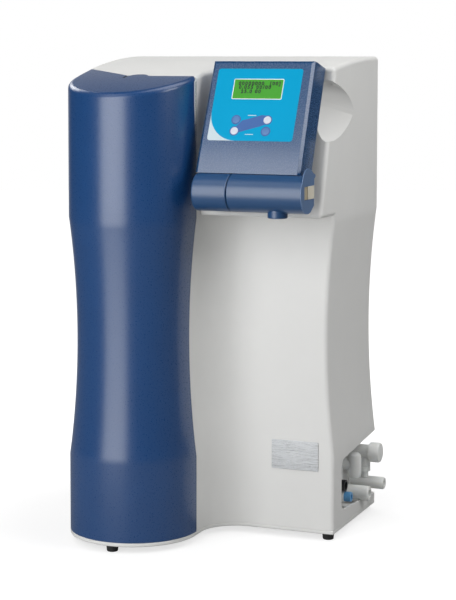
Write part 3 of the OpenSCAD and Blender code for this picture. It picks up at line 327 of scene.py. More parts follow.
class Outline:
    """A closed flat drawing made of straight runs and arcs."""

    def __init__(self, u: float, v: float) -> None:
        """Starts the drawing.

        Args:
            u: first coordinate of the start.
            v: second coordinate of the start.
        """
        self.mesh: BMesh = bmesh.new()
        self.first = self.mesh.verts.new((u, v, 0.0))
        self.last = self.first

    def line(self, u: float, v: float) -> Outline:
        """Adds a straight run.

        Args:
            u: first coordinate of its end.
            v: second coordinate of its end.

        Returns:
            This drawing.
        """
        corner = self.mesh.verts.new((u, v, 0.0))
        self.mesh.edges.new((self.last, corner))
        self.last = corner
        return self

    def lines(self, points: Iterable[Point]) -> Outline:
        """Adds straight runs through points.

        Args:
            points: the end of each run.

        Returns:
            This drawing.
        """
        for u, v in points:
            self.line(u, v)
        return self

    def arc(self, u: float, v: float, degrees: float, steps: int) -> Outline:
        """Adds an arc about a centre.

        Args:
            u: first coordinate of the centre.
            v: second coordinate of the centre.
            degrees: sweep, anticlockwise if positive.
            steps: number of straight steps.

        Returns:
            This drawing.
        """
        turn = {"axis": (0.0, 0.0, 1.0), "angle": math.radians(degrees), "steps": steps}
        swept = bmesh.ops.spin(self.mesh, geom=[self.last], cent=(u, v, 0.0), **turn, use_duplicate=False)
        self.last = next(g for g in swept["geom_last"] if isinstance(g, BMVert))
        return self

    def pull(self, low: float, high: float, lie: Matrix = PLAN) -> BMesh:
        """Closes the drawing and pulls it to a solid.

        Args:
            low: height of its first end.
            high: height of its other end.
            lie: how the drawing lies in space.

        Returns:
            The solid.
        """
        mesh = self.mesh
        if (self.last.co - self.first.co).length < 1e-4:
            bmesh.ops.pointmerge(mesh, verts=[self.last, self.first], merge_co=self.first.co.copy())
        else:
            mesh.edges.new((self.last, self.first))
        bmesh.ops.contextual_create(mesh, geom=mesh.edges[:])
        bmesh.ops.translate(mesh, vec=(0, 0, low), verts=mesh.verts[:])
        grown = bmesh.ops.extrude_face_region(mesh, geom=mesh.faces[:], use_keep_orig=True)
        moved = [g for g in grown["geom"] if isinstance(g, BMVert)]
        bmesh.ops.translate(mesh, vec=(0, 0, high - low), verts=moved)
        bmesh.ops.transform(mesh, matrix=lie, verts=mesh.verts[:])
        bmesh.ops.recalc_face_normals(mesh, faces=mesh.faces[:])
        return mesh


def rounded(u0: float, v0: float, u1: float, v1: float, radii: Point, steps: int = 8) -> Outline:
    """Draws a rectangle with round corners.

    Args:
        u0: left side.
        v0: lower side.
        u1: right side.
        v1: upper side.
        radii: corner radii, from the lower left, anticlockwise.
        steps: steps in each corner.

    Returns:
        The drawing.
    """
    a, b, c, d = radii
    shape = Outline(u0 + a, v0).line(u1 - b, v0).arc(u1 - b, v0 + b, 90, steps)
    shape.line(u1, v1 - c).arc(u1 - c, v1 - c, 90, steps)
    shape.line(u0 + d, v1).arc(u0 + d, v1 - d, 90, steps)
    return shape.line(u0, v0 + a).arc(u0 + a, v0 + a, 90, steps)


def block(low: Point, high: Point) -> BMesh:
    """Makes a box.

    Args:
        low: its corner with the least coordinates.
        high: its corner with the greatest.

    Returns:
        The box.
    """
    mesh = bmesh.new()
    size = [b - a for a, b in zip(low, high)]
    middle = [(a + b) / 2 for a, b in zip(low, high)]
    bmesh.ops.create_cube(mesh, size=1.0, matrix=Matrix.Translation(middle) @ Matrix.Diagonal((*size, 1.0)))
    return mesh


def turned(profile: Sequence[Point], turn: Turn, centre: Point, steps: int = 72) -> BMesh:
    """Turns a profile about a line, as on a lathe.

    Args:
        profile: points of distance along the line and radius.
        turn: the line's direction.
        centre: a point on the line.
        steps: steps round the turn.

    Returns:
        The turned solid.
    """
    mesh = bmesh.new()
    along = Vector(turn.value)
    out = Vector((0, 1, 0)) if turn is Turn.ALONG_X else Vector((1, 0, 0))
    points = [mesh.verts.new(along * a + out * r) for a, r in profile]
    for one, two in zip(points, points[1:]):
        mesh.edges.new((one, two))
    geom = mesh.verts[:] + mesh.edges[:]
    once = {"cent": (0, 0, 0), "axis": along, "angle": 2 * math.pi, "steps": steps, "use_merge": True}
    bmesh.ops.spin(mesh, geom=geom, **once, use_duplicate=False)
    bmesh.ops.remove_doubles(mesh, verts=mesh.verts[:], dist=1e-4)
    bmesh.ops.recalc_face_normals(mesh, faces=mesh.faces[:])
    bmesh.ops.translate(mesh, vec=centre, verts=mesh.verts[:])
    return mesh


def rod(low: float, high: float, radius: float, turn: Turn, centre: Point, steps: int = 72) -> BMesh:
    """Makes a plain round bar between two distances along its line."""
    return turned([(low, 0), (low, radius), (high, radius), (high, 0)], turn, centre, steps)


def join(*meshes: BMesh) -> BMesh:
    """Puts separate solids into one mesh.

    Args:
        meshes: the solids, which are used up.

    Returns:
        The mesh.
    """
    whole = bmesh.new()
    for part in meshes:
        carrier = stowed(part, "carrier")
        whole.from_mesh(carrier)
        bpy.data.meshes.remove(carrier)
    return whole


def combine(base: BMesh, tool: BMesh, cut: Cut) -> BMesh:
    """Lets one solid act on another.

    Args:
        base: the solid that is kept.
        tool: the solid that acts on it.
        cut: what it does.

    Returns:
        The result; both inputs are used up.
    """
    objects = [linked("carrier", stowed(part, "carrier")) for part in (base, tool)]
    action = objects[0].modifiers.new("cut", "BOOLEAN")
    action.object = objects[1]
    action.operation = cut.value
    action.solver = "EXACT"
    result = bmesh.new()
    result.from_object(objects[0], bpy.context.evaluated_depsgraph_get())
    for carrier in objects:
        mesh = carrier.data
        bpy.data.objects.remove(carrier)
        bpy.data.meshes.remove(mesh)
    bmesh.ops.remove_doubles(result, verts=result.verts[:], dist=1e-3)
    flat = math.radians(0.1)
    bmesh.ops.dissolve_limit(result, angle_limit=flat, verts=result.verts[:], edges=result.edges[:])
    return result


def slice_at(mesh: BMesh, axis: int, places: Iterable[float]) -> None:
    """Cuts new edges into a mesh where flat planes cross it.

    Args:
        mesh: the mesh.
        axis: 0, 1 or 2, for planes square to X, Y or Z.
        places: where the planes stand.
    """
    normal = Vector([1.0 if i == axis else 0.0 for i in range(3)])
    for place in places:
        geom = mesh.verts[:] + mesh.edges[:] + mesh.faces[:]
        bmesh.ops.bisect_plane(mesh, geom=geom, dist=1e-4, plane_co=normal * place, plane_no=normal)


def cut_off(mesh: BMesh, spot: Point, normal: Point, beyond: bool) -> None:
    """Cuts a mesh at a plane, drops one side of it and closes the cut.

    Args:
        mesh: the mesh.
        spot: a point of the plane.
        normal: the plane's direction.
        beyond: whether the side that the normal points to is dropped, or the other.
    """
    geom = mesh.verts[:] + mesh.edges[:] + mesh.faces[:]
    sides = {"clear_outer": beyond, "clear_inner": not beyond}
    bmesh.ops.bisect_plane(mesh, geom=geom, dist=1e-4, plane_co=spot, plane_no=normal, **sides)
    bmesh.ops.contextual_create(mesh, geom=[e for e in mesh.edges if e.is_boundary])
    bmesh.ops.recalc_face_normals(mesh, faces=mesh.faces[:])


def reshape(mesh: BMesh, rule: Callable[[Vector], Vector]) -> BMesh:
    """Moves every point of a mesh.

    Args:
        mesh: the mesh.
        rule: takes a point to its new place.

    Returns:
        The mesh.
    """
    for vert in mesh.verts:
        vert.co = rule(vert.co)
    return mesh


def round_edges(mesh: BMesh, edges: Sequence[BMEdge], radius: float, segments: int) -> None:
    """Rounds edges of a mesh.

    Args:
        mesh: the mesh.
        edges: the edges.
        radius: how far from the edge the rounding starts.
        segments: its steps; one gives a chamfer.
    """
    form = {"offset": radius, "offset_type": "OFFSET", "segments": segments, "profile": 0.5, "material": -1}
    bmesh.ops.bevel(mesh, geom=list(edges), affect="EDGES", **form, clamp_overlap=False, loop_slide=True)


def sharp_edges(mesh: BMesh, wanted: Callable[[BMEdge], bool], least: float = 35.0) -> list[BMEdge]:
    """Lists the outward corners of a mesh.

    Args:
        mesh: the mesh.
        wanted: says whether an edge counts.
        least: smallest turn at the edge, in degrees.

    Returns:
        The edges.
    """
    limit = math.radians(least)
    closed = [e for e in mesh.edges if len(e.link_faces) == 2]
    return [e for e in closed if e.calc_face_angle_signed(0.0) > limit and wanted(e)]


def drop_faces(mesh: BMesh, unwanted: Callable[[BMFace], bool]) -> None:
    """Deletes faces and what only they used."""
    bmesh.ops.delete(mesh, geom=[f for f in mesh.faces if unwanted(f)], context="FACES")


def eased(value: float, low: float, high: float) -> float:
    """Rises softly from 0 at a low value to 1 at a high one."""
    part = min(max((value - low) / (high - low), 0.0), 1.0)
    return part * part * (3 - 2 * part)


@dataclass
class Piece:
    """One visible piece, from its drawn mesh to its place in the unit."""

    name: str
    mesh: BMesh
    finish: Finish
    node: str = ""
    body: str = Body.HOUSING.value
    wall_mm: float = 0.0
    edge_mm: float = 0.0
    edge_segments: int = 3
    crease: float = 32.0

    def place(self) -> None:
        """Makes the object, dresses it and puts it on its body."""
        bmesh.ops.scale(self.mesh, vec=(MM, MM, MM), verts=self.mesh.verts[:])
        data = stowed(self.mesh, self.name)
        data.shade_smooth()
        data.set_sharp_from_angle(angle=math.radians(self.crease))
        made = linked(self.name, data)
        if self.wall_mm:
            wall = made.modifiers.new("wall", "SOLIDIFY")
            wall.thickness = self.wall_mm * MM
            wall.offset = -1.0
            wall.use_even_offset = True
        if self.edge_mm:
            edge = made.modifiers.new("edge", "BEVEL")
            edge.width = self.edge_mm * MM
            edge.segments = self.edge_segments
            edge.limit_method = "ANGLE"
            edge.angle_limit = math.radians(self.crease)
        made.modifiers.new("normals", "WEIGHTED_NORMAL").keep_sharp = True
        data.materials.append(self.finish.material())
        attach(made, self.body)
        if self.node:
            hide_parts(self.node)
        LOG.info("%s rides on %s and stands for %s", self.name, self.body, self.node or "no node")


@dataclass(frozen=True)
class BodyPlan:
    """The unit's outline, shared by its cover, housing, base and hose bay."""

    left: float
    right: float
    front: float
    back: float
    deck: float
    cover_radius: float = 83.0
    cover_inset: float = 105.5
    rear_left_radius: float = 20.0
    rear_right_radius: float = 8.0
    seam_back: float = 5.0
    seam_gap: float = 0.3
    bend_inset: float = 10.0
    seam_run: float = 43.0
    tab_radius: float = 14.0
    tab_set: float = 5.0
    panel_set: float = 153.0
    cove_radius: float = 47.0
    head_low: float = 415.5
    head_reach: float = 54.0
    head_tilt: float = 16.0
    top: float = 615.0
    crown_radius: float = 1263.0
    waist_low: float = 110.0
    waist_high: float = 413.5
    waist_depth: float = 10.0
    bay_depth: float = 26.0
    bay_run: float = 33.0
    bay_low: float = 21.0
    bay_high: float = 110.5

    @property
    def axis(self) -> Vector:
        """Centre of the cover's round front."""
        return Vector((self.left + self.cover_inset, self.front + self.cover_radius))

    @property
    def column(self) -> float:
        """Right side of the cover's column."""
        return self.axis.x + self.cover_radius

    @property
    def seam(self) -> float:
        """Y of the straight part of the seam between cover and housing."""
        return self.axis.y + self.seam_back

    @property
    def seam_slope(self) -> float:
        """Slope of the rest of that seam, left of its bend."""
        return self.seam_run / (self.cover_radius - self.bend_inset)

    @property
    def bend(self) -> float:
        """X of the bend in that seam."""
        return self.axis.x - self.bend_inset

    @property
    def panel(self) -> float:
        """Y of the lower front panel."""
        return self.front + self.panel_set

    @property
    def lean(self) -> float:
        """Angle by which the left side opens towards the back.

        Returns:
            The angle in radians.
        """
        across = Vector((self.cover_inset - self.rear_left_radius, 0.0))
        across.y = self.back - self.front - self.cover_radius - self.rear_left_radius
        reach = (self.cover_radius - self.rear_left_radius) / across.length
        return math.acos(reach) - math.atan2(across.y, across.x)

    def left_at(self, y: float) -> float:
        """X of the left side at a depth."""
        run = self.cover_radius + (y - self.axis.y) * math.sin(self.lean)
        return self.axis.x - run / math.cos(self.lean)

    def seam_left(self, gap: float) -> tuple[float, float]:
        """Left end of the seam.

        Args:
            gap: how far the seam is moved back.

        Returns:
            Its x and y.
        """
        low, high = self.seam, self.back
        for _ in range(40):
            y = (low + high) / 2
            if self.seam + gap + self.seam_slope * (self.bend - self.left_at(y)) > y:
                low = y
            else:
                high = y
        return self.left_at(low), low

    def tab_arc(self, gap: float) -> tuple[float, float, float, float]:
        """The finger tab in the seam.

        Args:
            gap: how far the seam is moved back.

        Returns:
            Its centre's x and y, half its width at the seam and its sweep in degrees.
        """
        radius = self.tab_radius + gap
        start = math.asin((self.tab_set + gap) / radius)
        reach, sweep = radius * math.cos(start), 180 - 2 * math.degrees(start)
        return self.bend + self.tab_radius, self.seam - self.tab_set, reach, sweep

    def add_rear(self, shape: Outline, corner_steps: int) -> Outline:
        """Draws from the column round the cove and the back to the left side.

        Args:
            shape: the drawing, which has reached the column.
            corner_steps: steps in the right rear corner.

        Returns:
            The drawing.
        """
        cove, right, left = self.cove_radius, self.rear_right_radius, self.rear_left_radius
        shape.line(self.column, self.panel - cove).arc(self.column + cove, self.panel - cove, -90, 20)
        shape.line(self.right, self.panel).line(self.right, self.back - right)
        shape.arc(self.right - right, self.back - right, 90, corner_steps).line(self.left + left, self.back)
        return shape.arc(self.left + left, self.back - left, 90 + math.degrees(self.lean), 10)

    def add_front(self, shape: Outline) -> Outline:
        """Draws the round front, from the left side to the column."""
        start = self.axis - self.cover_radius * Vector((math.cos(self.lean), math.sin(self.lean)))
        return shape.line(start.x, start.y).arc(self.axis.x, self.axis.y, 180 - math.degrees(self.lean), 60)

    def face_at(self, z: float) -> float:
        """Y of the head's leaning face at a height."""
        return self.panel - self.head_reach + (z - self.head_low) * math.tan(math.radians(self.head_tilt))

    def crown_drop(self, y: float) -> float:
        """How far the crowned top has fallen at a depth."""
        return self.crown_radius - math.sqrt(self.crown_radius**2 - (self.back - y) ** 2)

    def waist(self, z: float) -> float:
        """How far the sides are drawn in at a height.

        Args:
            z: the height.

        Returns:
            The distance, 0 above and below the waist.
        """
        half = (self.waist_high - self.waist_low) / 2
        radius = half * half / (2 * self.waist_depth) + self.waist_depth / 2
        off = abs(z - (self.waist_high + self.waist_low) / 2)
        if off >= half:
            return 0.0
        return self.waist_depth - radius + math.sqrt(radius * radius - off * off)

    def waist_slices(self, step: float = 10.0) -> list[float]:
        """Heights at which the waisted sides are cut into bands."""
        count = round((self.waist_high - self.waist_low) / step)
        return [self.waist_low + (self.waist_high - self.waist_low) * i / count for i in range(count + 1)]


@dataclass
class FrontCover:
    """The blue cover over the cartridge: round in front, waisted, with a soft top edge."""

    plan: BodyPlan
    wall: float = 3.0
    top_round: float = 6.5
    slot_width: float = 3.8
    slot_length: float = 12.0
    slot_depth: float = 0.2
    bend_low: float = 430.0
    bend_high: float = 560.0
    upright_step: float = 13.0
    level_step: float = 8.0

    def outline(self) -> Outline:
        """Draws the cover from above.

        Returns:
            The drawing.
        """
        plan = self.plan
        gap = -plan.seam_gap
        y = plan.seam + gap
        tab_x, tab_y, reach, sweep = plan.tab_arc(gap)
        slot = plan.bend - self.slot_width
        shape = Outline(plan.column, y).line(tab_x + reach, y).arc(tab_x, tab_y, sweep, 14)
        shape.lines([(plan.bend, y), (plan.bend, y - self.slot_length), (slot, y - self.slot_length)])
        shape.line(slot, y + plan.seam_slope * self.slot_width).line(*plan.seam_left(gap))
        return plan.add_front(shape)

    def at_seam(self, face: BMFace) -> bool:
        """Says whether a face closes the open back or bottom of the cover.

        Args:
            face: the face.

        Returns:
            Whether it does.
        """
        middle = face.calc_center_median()
        if abs(face.normal.z) > 0.9:
            return middle.z < self.plan.deck + 1
        in_slot = self.plan.bend - self.slot_width - 0.1 < middle.x < self.plan.bend + 0.1
        return face.normal.y > 0.2 or (in_slot and middle.y > self.plan.seam - self.slot_length - 1)

    def on_rim(self, edge: BMEdge) -> bool:
        """Says whether an edge is part of the top's outer rim."""
        high = all(v.co.z > self.plan.top - 0.1 for v in edge.verts)
        return high and not any(self.at_seam(f) for f in edge.link_faces)

    def shaped(self, spot: Vector) -> Vector:
        """Moves a point of the straight form to its place on the crowned, waisted form.

        Args:
            spot: the point.

        Returns:
            Its new place.
        """
        plan = self.plan
        z = spot.z - eased(spot.z, self.bend_low, self.bend_high) * plan.crown_drop(spot.y)
        inset = plan.waist(z)
        off = Vector((spot.x, spot.y)) - plan.axis
        if off.y <= 0:
            flat = plan.axis + off * (1 - inset / plan.cover_radius)
        else:
            half = (plan.column - plan.left_at(spot.y)) / 2
            middle = (plan.column + plan.left_at(spot.y)) / 2
            flat = Vector((spot.x - inset * (spot.x - middle) / half, spot.y))
        return Vector((flat.x, flat.y, z))

    def build(self) -> None:
        """Builds the cover."""
        plan = self.plan
        mesh = self.outline().pull(plan.deck + plan.seam_gap, plan.top)
        round_edges(mesh, sharp_edges(mesh, self.on_rim), self.top_round, 6)
        drop_faces(mesh, self.at_seam)
        slice_at(mesh, 2, plan.waist_slices() + [self.bend_low + self.upright_step * i for i in range(1, 12)])
        slice_at(mesh, 1, [plan.front + self.level_step * (i + 1) for i in range(18)])
        reshape(mesh, self.shaped)
        look = {"wall_mm": self.wall, "edge_mm": 0.5, "edge_segments": 2}
        Piece("front_cover_shell", mesh, BLUE_SHELL, "front_cover", Body.COVER.value, **look).place()
        self.build_slot_shade()

    def build_slot_shade(self) -> None:
        """Builds a black block at the floor of the slot beside the finger tab: painted shade for the slot's
        dark depth.
        """
        plan = self.plan
        low = (plan.bend - self.slot_width + 0.1, plan.seam - self.slot_length - 0.5, plan.top - 9)
        floor = block(low, (plan.bend - 0.1, plan.seam - plan.seam_gap - 0.3, plan.top - self.slot_depth))
        slice_at(floor, 1, [plan.seam - 3.0 * i for i in range(1, 4)])
        # The black rubber finish here is painted shade, not a part of its own.
        Piece("cover_slot_painted_shade", reshape(floor, self.shaped), RUBBER, body=Body.COVER.value).place()


@dataclass
class Housing:
    """The white housing: waisted sides, a coved lower panel, a leaning head and a finger scoop."""

    plan: BodyPlan
    wall: float = 3.0
    edge_round: float = 5.5
    bend_low: float = 450.0
    bend_high: float = 600.0
    scoop_z: float = 546.0
    scoop_start: float = 14.0
    scoop_length: float = 87.0
    scoop_height: float = 36.5
    scoop_power: float = 1.5
    scoop_turn: float = 16.0
    scoop_rise: tuple[float, float] = (0.0, 1.3)
    scoop_run: float = 120.0
    bay_corner: float = 12.0
    bay_fall: float = 12.0
    bay_rise: float = 10.0
    window_lap: float = 10.0
    band: float = 10.0
    over: float = 30.0

    def outline(self) -> Outline:
        """Draws the lower body from above.

        Returns:
            The drawing.
        """
        plan = self.plan
        y = plan.seam + plan.seam_gap
        tab_x, tab_y, reach, sweep = plan.tab_arc(plan.seam_gap)
        shape = plan.add_rear(Outline(tab_x + reach, y).line(plan.column, y), 8)
        shape.line(*plan.seam_left(plan.seam_gap)).line(plan.bend, y).line(tab_x - reach, y)
        return shape.arc(tab_x, tab_y, -sweep, 14)

    def head(self) -> BMesh:
        """Makes the block that leans out over the dispensing place.

        Returns:
            The block.
        """
        plan = self.plan
        low, high, back = plan.head_low, plan.top + self.over, plan.panel + 20
        side = Outline(plan.face_at(low), low).lines([(back, low), (back, high), (plan.face_at(high), high)])
        return side.pull(plan.column, plan.right, SIDE)

    def crowned(self, spot: Vector) -> Vector:
        """Moves a point of the flat-topped form to its place under the crowned top.

        Args:
            spot: the point.

        Returns:
            Its new place.
        """
        plan = self.plan
        part = eased(spot.z, self.bend_low, self.bend_high)
        near = 0.0
        if spot.x > plan.column - 0.1 and spot.z > plan.head_low - 1:
            near = min(max(1.3 - (spot.y - plan.face_at(spot.z)) / 25, 0.0), 1.0)
        lean = near * math.tan(math.radians(plan.head_tilt))
        y = spot.y - lean * part * plan.crown_drop(spot.y)
        drop = part * plan.crown_drop(y)
        return Vector((spot.x, spot.y - lean * drop, spot.z - drop))

    def scoop(self) -> BMesh:
        """Makes the cutter for the finger scoop: an egg-shaped rim, pulled in towards the front.

        Returns:
            The cutter.
        """
        plan = self.plan
        front = plan.panel - self.scoop_start
        side = Outline(front - self.scoop_run, self.scoop_z - self.scoop_height)
        for step in range(49):
            angle = math.pi * (step / 48 - 0.5)
            along = abs(math.cos(angle)) ** (2 / self.scoop_power)
            up = math.copysign(abs(math.sin(angle)) ** (2 / self.scoop_power), angle)
            side.line(front + self.scoop_length * along, self.scoop_z + self.scoop_height * up)
        side.line(front - self.scoop_run, self.scoop_z + self.scoop_height)
        return reshape(side.pull(plan.right - 60, plan.right + 10, SIDE), self.drawn_in)

    def drawn_in(self, spot: Vector) -> Vector:
        """Moves a point of the scoop's cutter forward and up by how deep it lies.

        Args:
            spot: the point.

        Returns:
            Its new place.
        """
        deep = self.plan.right - spot.x
        part = 0.5 + (spot.z - self.scoop_z) / (2 * self.scoop_height)
        rise = self.scoop_rise[0] * (1 - part) + self.scoop_rise[1] * part
        return spot + Vector((0.0, -deep / math.tan(math.radians(self.scoop_turn)), rise * deep))

    def bay(self) -> BMesh:
        """Makes the cutter for the hose bay's opening.

        Returns:
            The cutter.
        """
        plan, r = self.plan, self.bay_corner
        front = plan.panel + plan.bay_run
        high, low = plan.bay_high - self.bay_fall, plan.bay_low + self.bay_rise
        side = Outline(plan.back + 1, plan.bay_low + 1).line(plan.back + 1, plan.bay_high - 1)
        side.line(front + r, high).arc(front + r, high - r, 90, 6)
        side.line(front, low + r).arc(front + r, low + r, 90, 6)
        return side.pull(plan.right - plan.bay_depth, plan.right + self.over, SIDE)

    def rear_window(self) -> BMesh:
        """Makes the cutter for the opening behind the rear panel.

        Returns:
            The cutter.
        """
        low, high = (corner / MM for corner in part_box("rear_panel"))
        lap, back = self.window_lap, self.plan.back
        return block((low.x + lap, back - 8, low.z + lap), (high.x - lap, back + 8, high.z - lap))

    def in_window(self, spot: Vector) -> bool:
        """Says whether a point lies in the rear window's pocket.

        Args:
            spot: the point.

        Returns:
            Whether it does.
        """
        low, high = (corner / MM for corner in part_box("rear_panel"))
        lap = self.window_lap - 1
        return low.x + lap < spot.x < high.x - lap and low.z + lap < spot.z < high.z - lap

    def opened(self, face: BMFace) -> bool:
        """Says whether a face closes the seam, the bottom, the hose bay or the rear window.

        Args:
            face: the face.

        Returns:
            Whether it does.
        """
        plan = self.plan
        middle = face.calc_center_median()
        if abs(face.normal.z) > 0.9 and middle.z < plan.deck + 1:
            return True
        upright = abs(face.normal.z) < 0.1 and face.normal.y < -0.3
        if upright and middle.x < plan.column - 0.1 and middle.y < 0:
            return True
        in_bay = plan.bay_low - 1 < middle.z < plan.bay_high + 1 and middle.y > plan.panel + plan.bay_run - 1
        if in_bay and plan.right - plan.bay_depth - 1 < middle.x < plan.right - 0.3:
            return plan.back - middle.y > 0.3
        in_pocket = plan.back - 9 < middle.y < plan.back - 0.3 and middle.x < plan.right - 30
        return in_pocket and self.in_window(middle)

    def soft(self, edge: BMEdge) -> bool:
        """Says whether an outward corner is rounded: all but those at the seam and the bottom."""
        low = all(v.co.z < self.plan.deck + 1 for v in edge.verts)
        return not low and not any(self.opened(face) for face in edge.link_faces)

    def waisted(self, spot: Vector) -> Vector:
        """Moves a point of the straight form in to the waisted form.

        Args:
            spot: the point.

        Returns:
            Its new place.
        """
        plan = self.plan
        inset = plan.waist(spot.z)
        if not inset:
            return spot
        left = plan.left_at(spot.y)
        on_column = spot.y < plan.panel + 0.1 and spot.x > plan.column - 0.1
        if on_column or spot.x > plan.right - plan.rear_right_radius - 0.1:
            shift = -1.0
        elif spot.x < left + plan.rear_left_radius:
            shift = 1.0
        else:
            shift = 1.0 - 2.0 * (spot.x - left) / (plan.right - left)
        return spot + Vector((inset * shift, 0.0, 0.0))

    def build(self) -> None:
        """Builds the housing."""
        plan = self.plan
        mesh = combine(self.outline().pull(plan.deck, plan.top + self.over), self.head(), Cut.JOIN)
        cut_off(mesh, (0, 0, plan.top), (0, 0, 1), True)
        round_edges(mesh, sharp_edges(mesh, self.soft), self.edge_round, 8)
        slice_at(mesh, 1, [plan.seam + self.band * i for i in range(1, 25)])
        slice_at(mesh, 2, [self.bend_low + self.band * i for i in range(16)])
        reshape(mesh, self.crowned)
        for cutter in (self.scoop(), self.bay(), self.rear_window()):
            mesh = combine(mesh, cutter, Cut.REMOVE)
        drop_faces(mesh, self.opened)
        slice_at(mesh, 2, plan.waist_slices())
        reshape(mesh, self.waisted)
        look = {"wall_mm": self.wall, "edge_mm": 0.4, "edge_segments": 2, "crease": 18.0}
        Piece("housing_body", mesh, WHITE_SHELL, "housing_shell", **look).place()


@dataclass
class Base:
    """The base plate, with the same outline as the cover and housing, its feet and the bare front plate."""

    plan: BodyPlan
    thick: float = 5.0
    edge: float = 1.2
    plate_corner: float = 1.5

    def build_feet(self) -> None:
        """Builds the five rubber feet, each a short tapered pad."""
        plan = self.plan
        high = plan.deck - self.thick
        places = (
            (plan.axis.x + 2, plan.axis.y - plan.cover_radius + 10),
            (plan.right - 10, plan.panel + 10),
            (plan.right - 22, plan.back - 22),
            (plan.left + 40, plan.back - 30),
            (plan.axis.x - plan.cover_radius + 24, plan.axis.y + 20),
        )
        profile = [(0.0, 0.0), (0.0, 6.2), (0.8, 7.0), (high, 7.6), (high, 0.0)]
        pads = [turned(profile, Turn.ALONG_Z, (x, y, 0.0), 40) for x, y in places]
        Piece("rubber_feet_pads", join(*pads), RUBBER, "rubber_feet", edge_mm=0.4).place()

    def build(self) -> None:
        """Builds the base plate, its feet and the front plate."""
        plan = self.plan
        shape = plan.add_front(plan.add_rear(Outline(plan.column, plan.axis.y), 6))
        tray = shape.pull(plan.deck - self.thick, plan.deck)
        Piece("base_tray", tray, WHITE_SHELL, "base_plate", edge_mm=self.edge, edge_segments=2).place()
        self.build_feet()
        low, high = (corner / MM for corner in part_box("front_plate"))
        sheet = rounded(low.x, low.z, high.x, high.z, (self.plate_corner,) * 4, 5).pull(-high.y, -low.y, FACE)
        Piece("bare_front_plate", sheet, BRUSHED_STEEL, "front_plate", edge_mm=0.25, edge_segments=2).place()


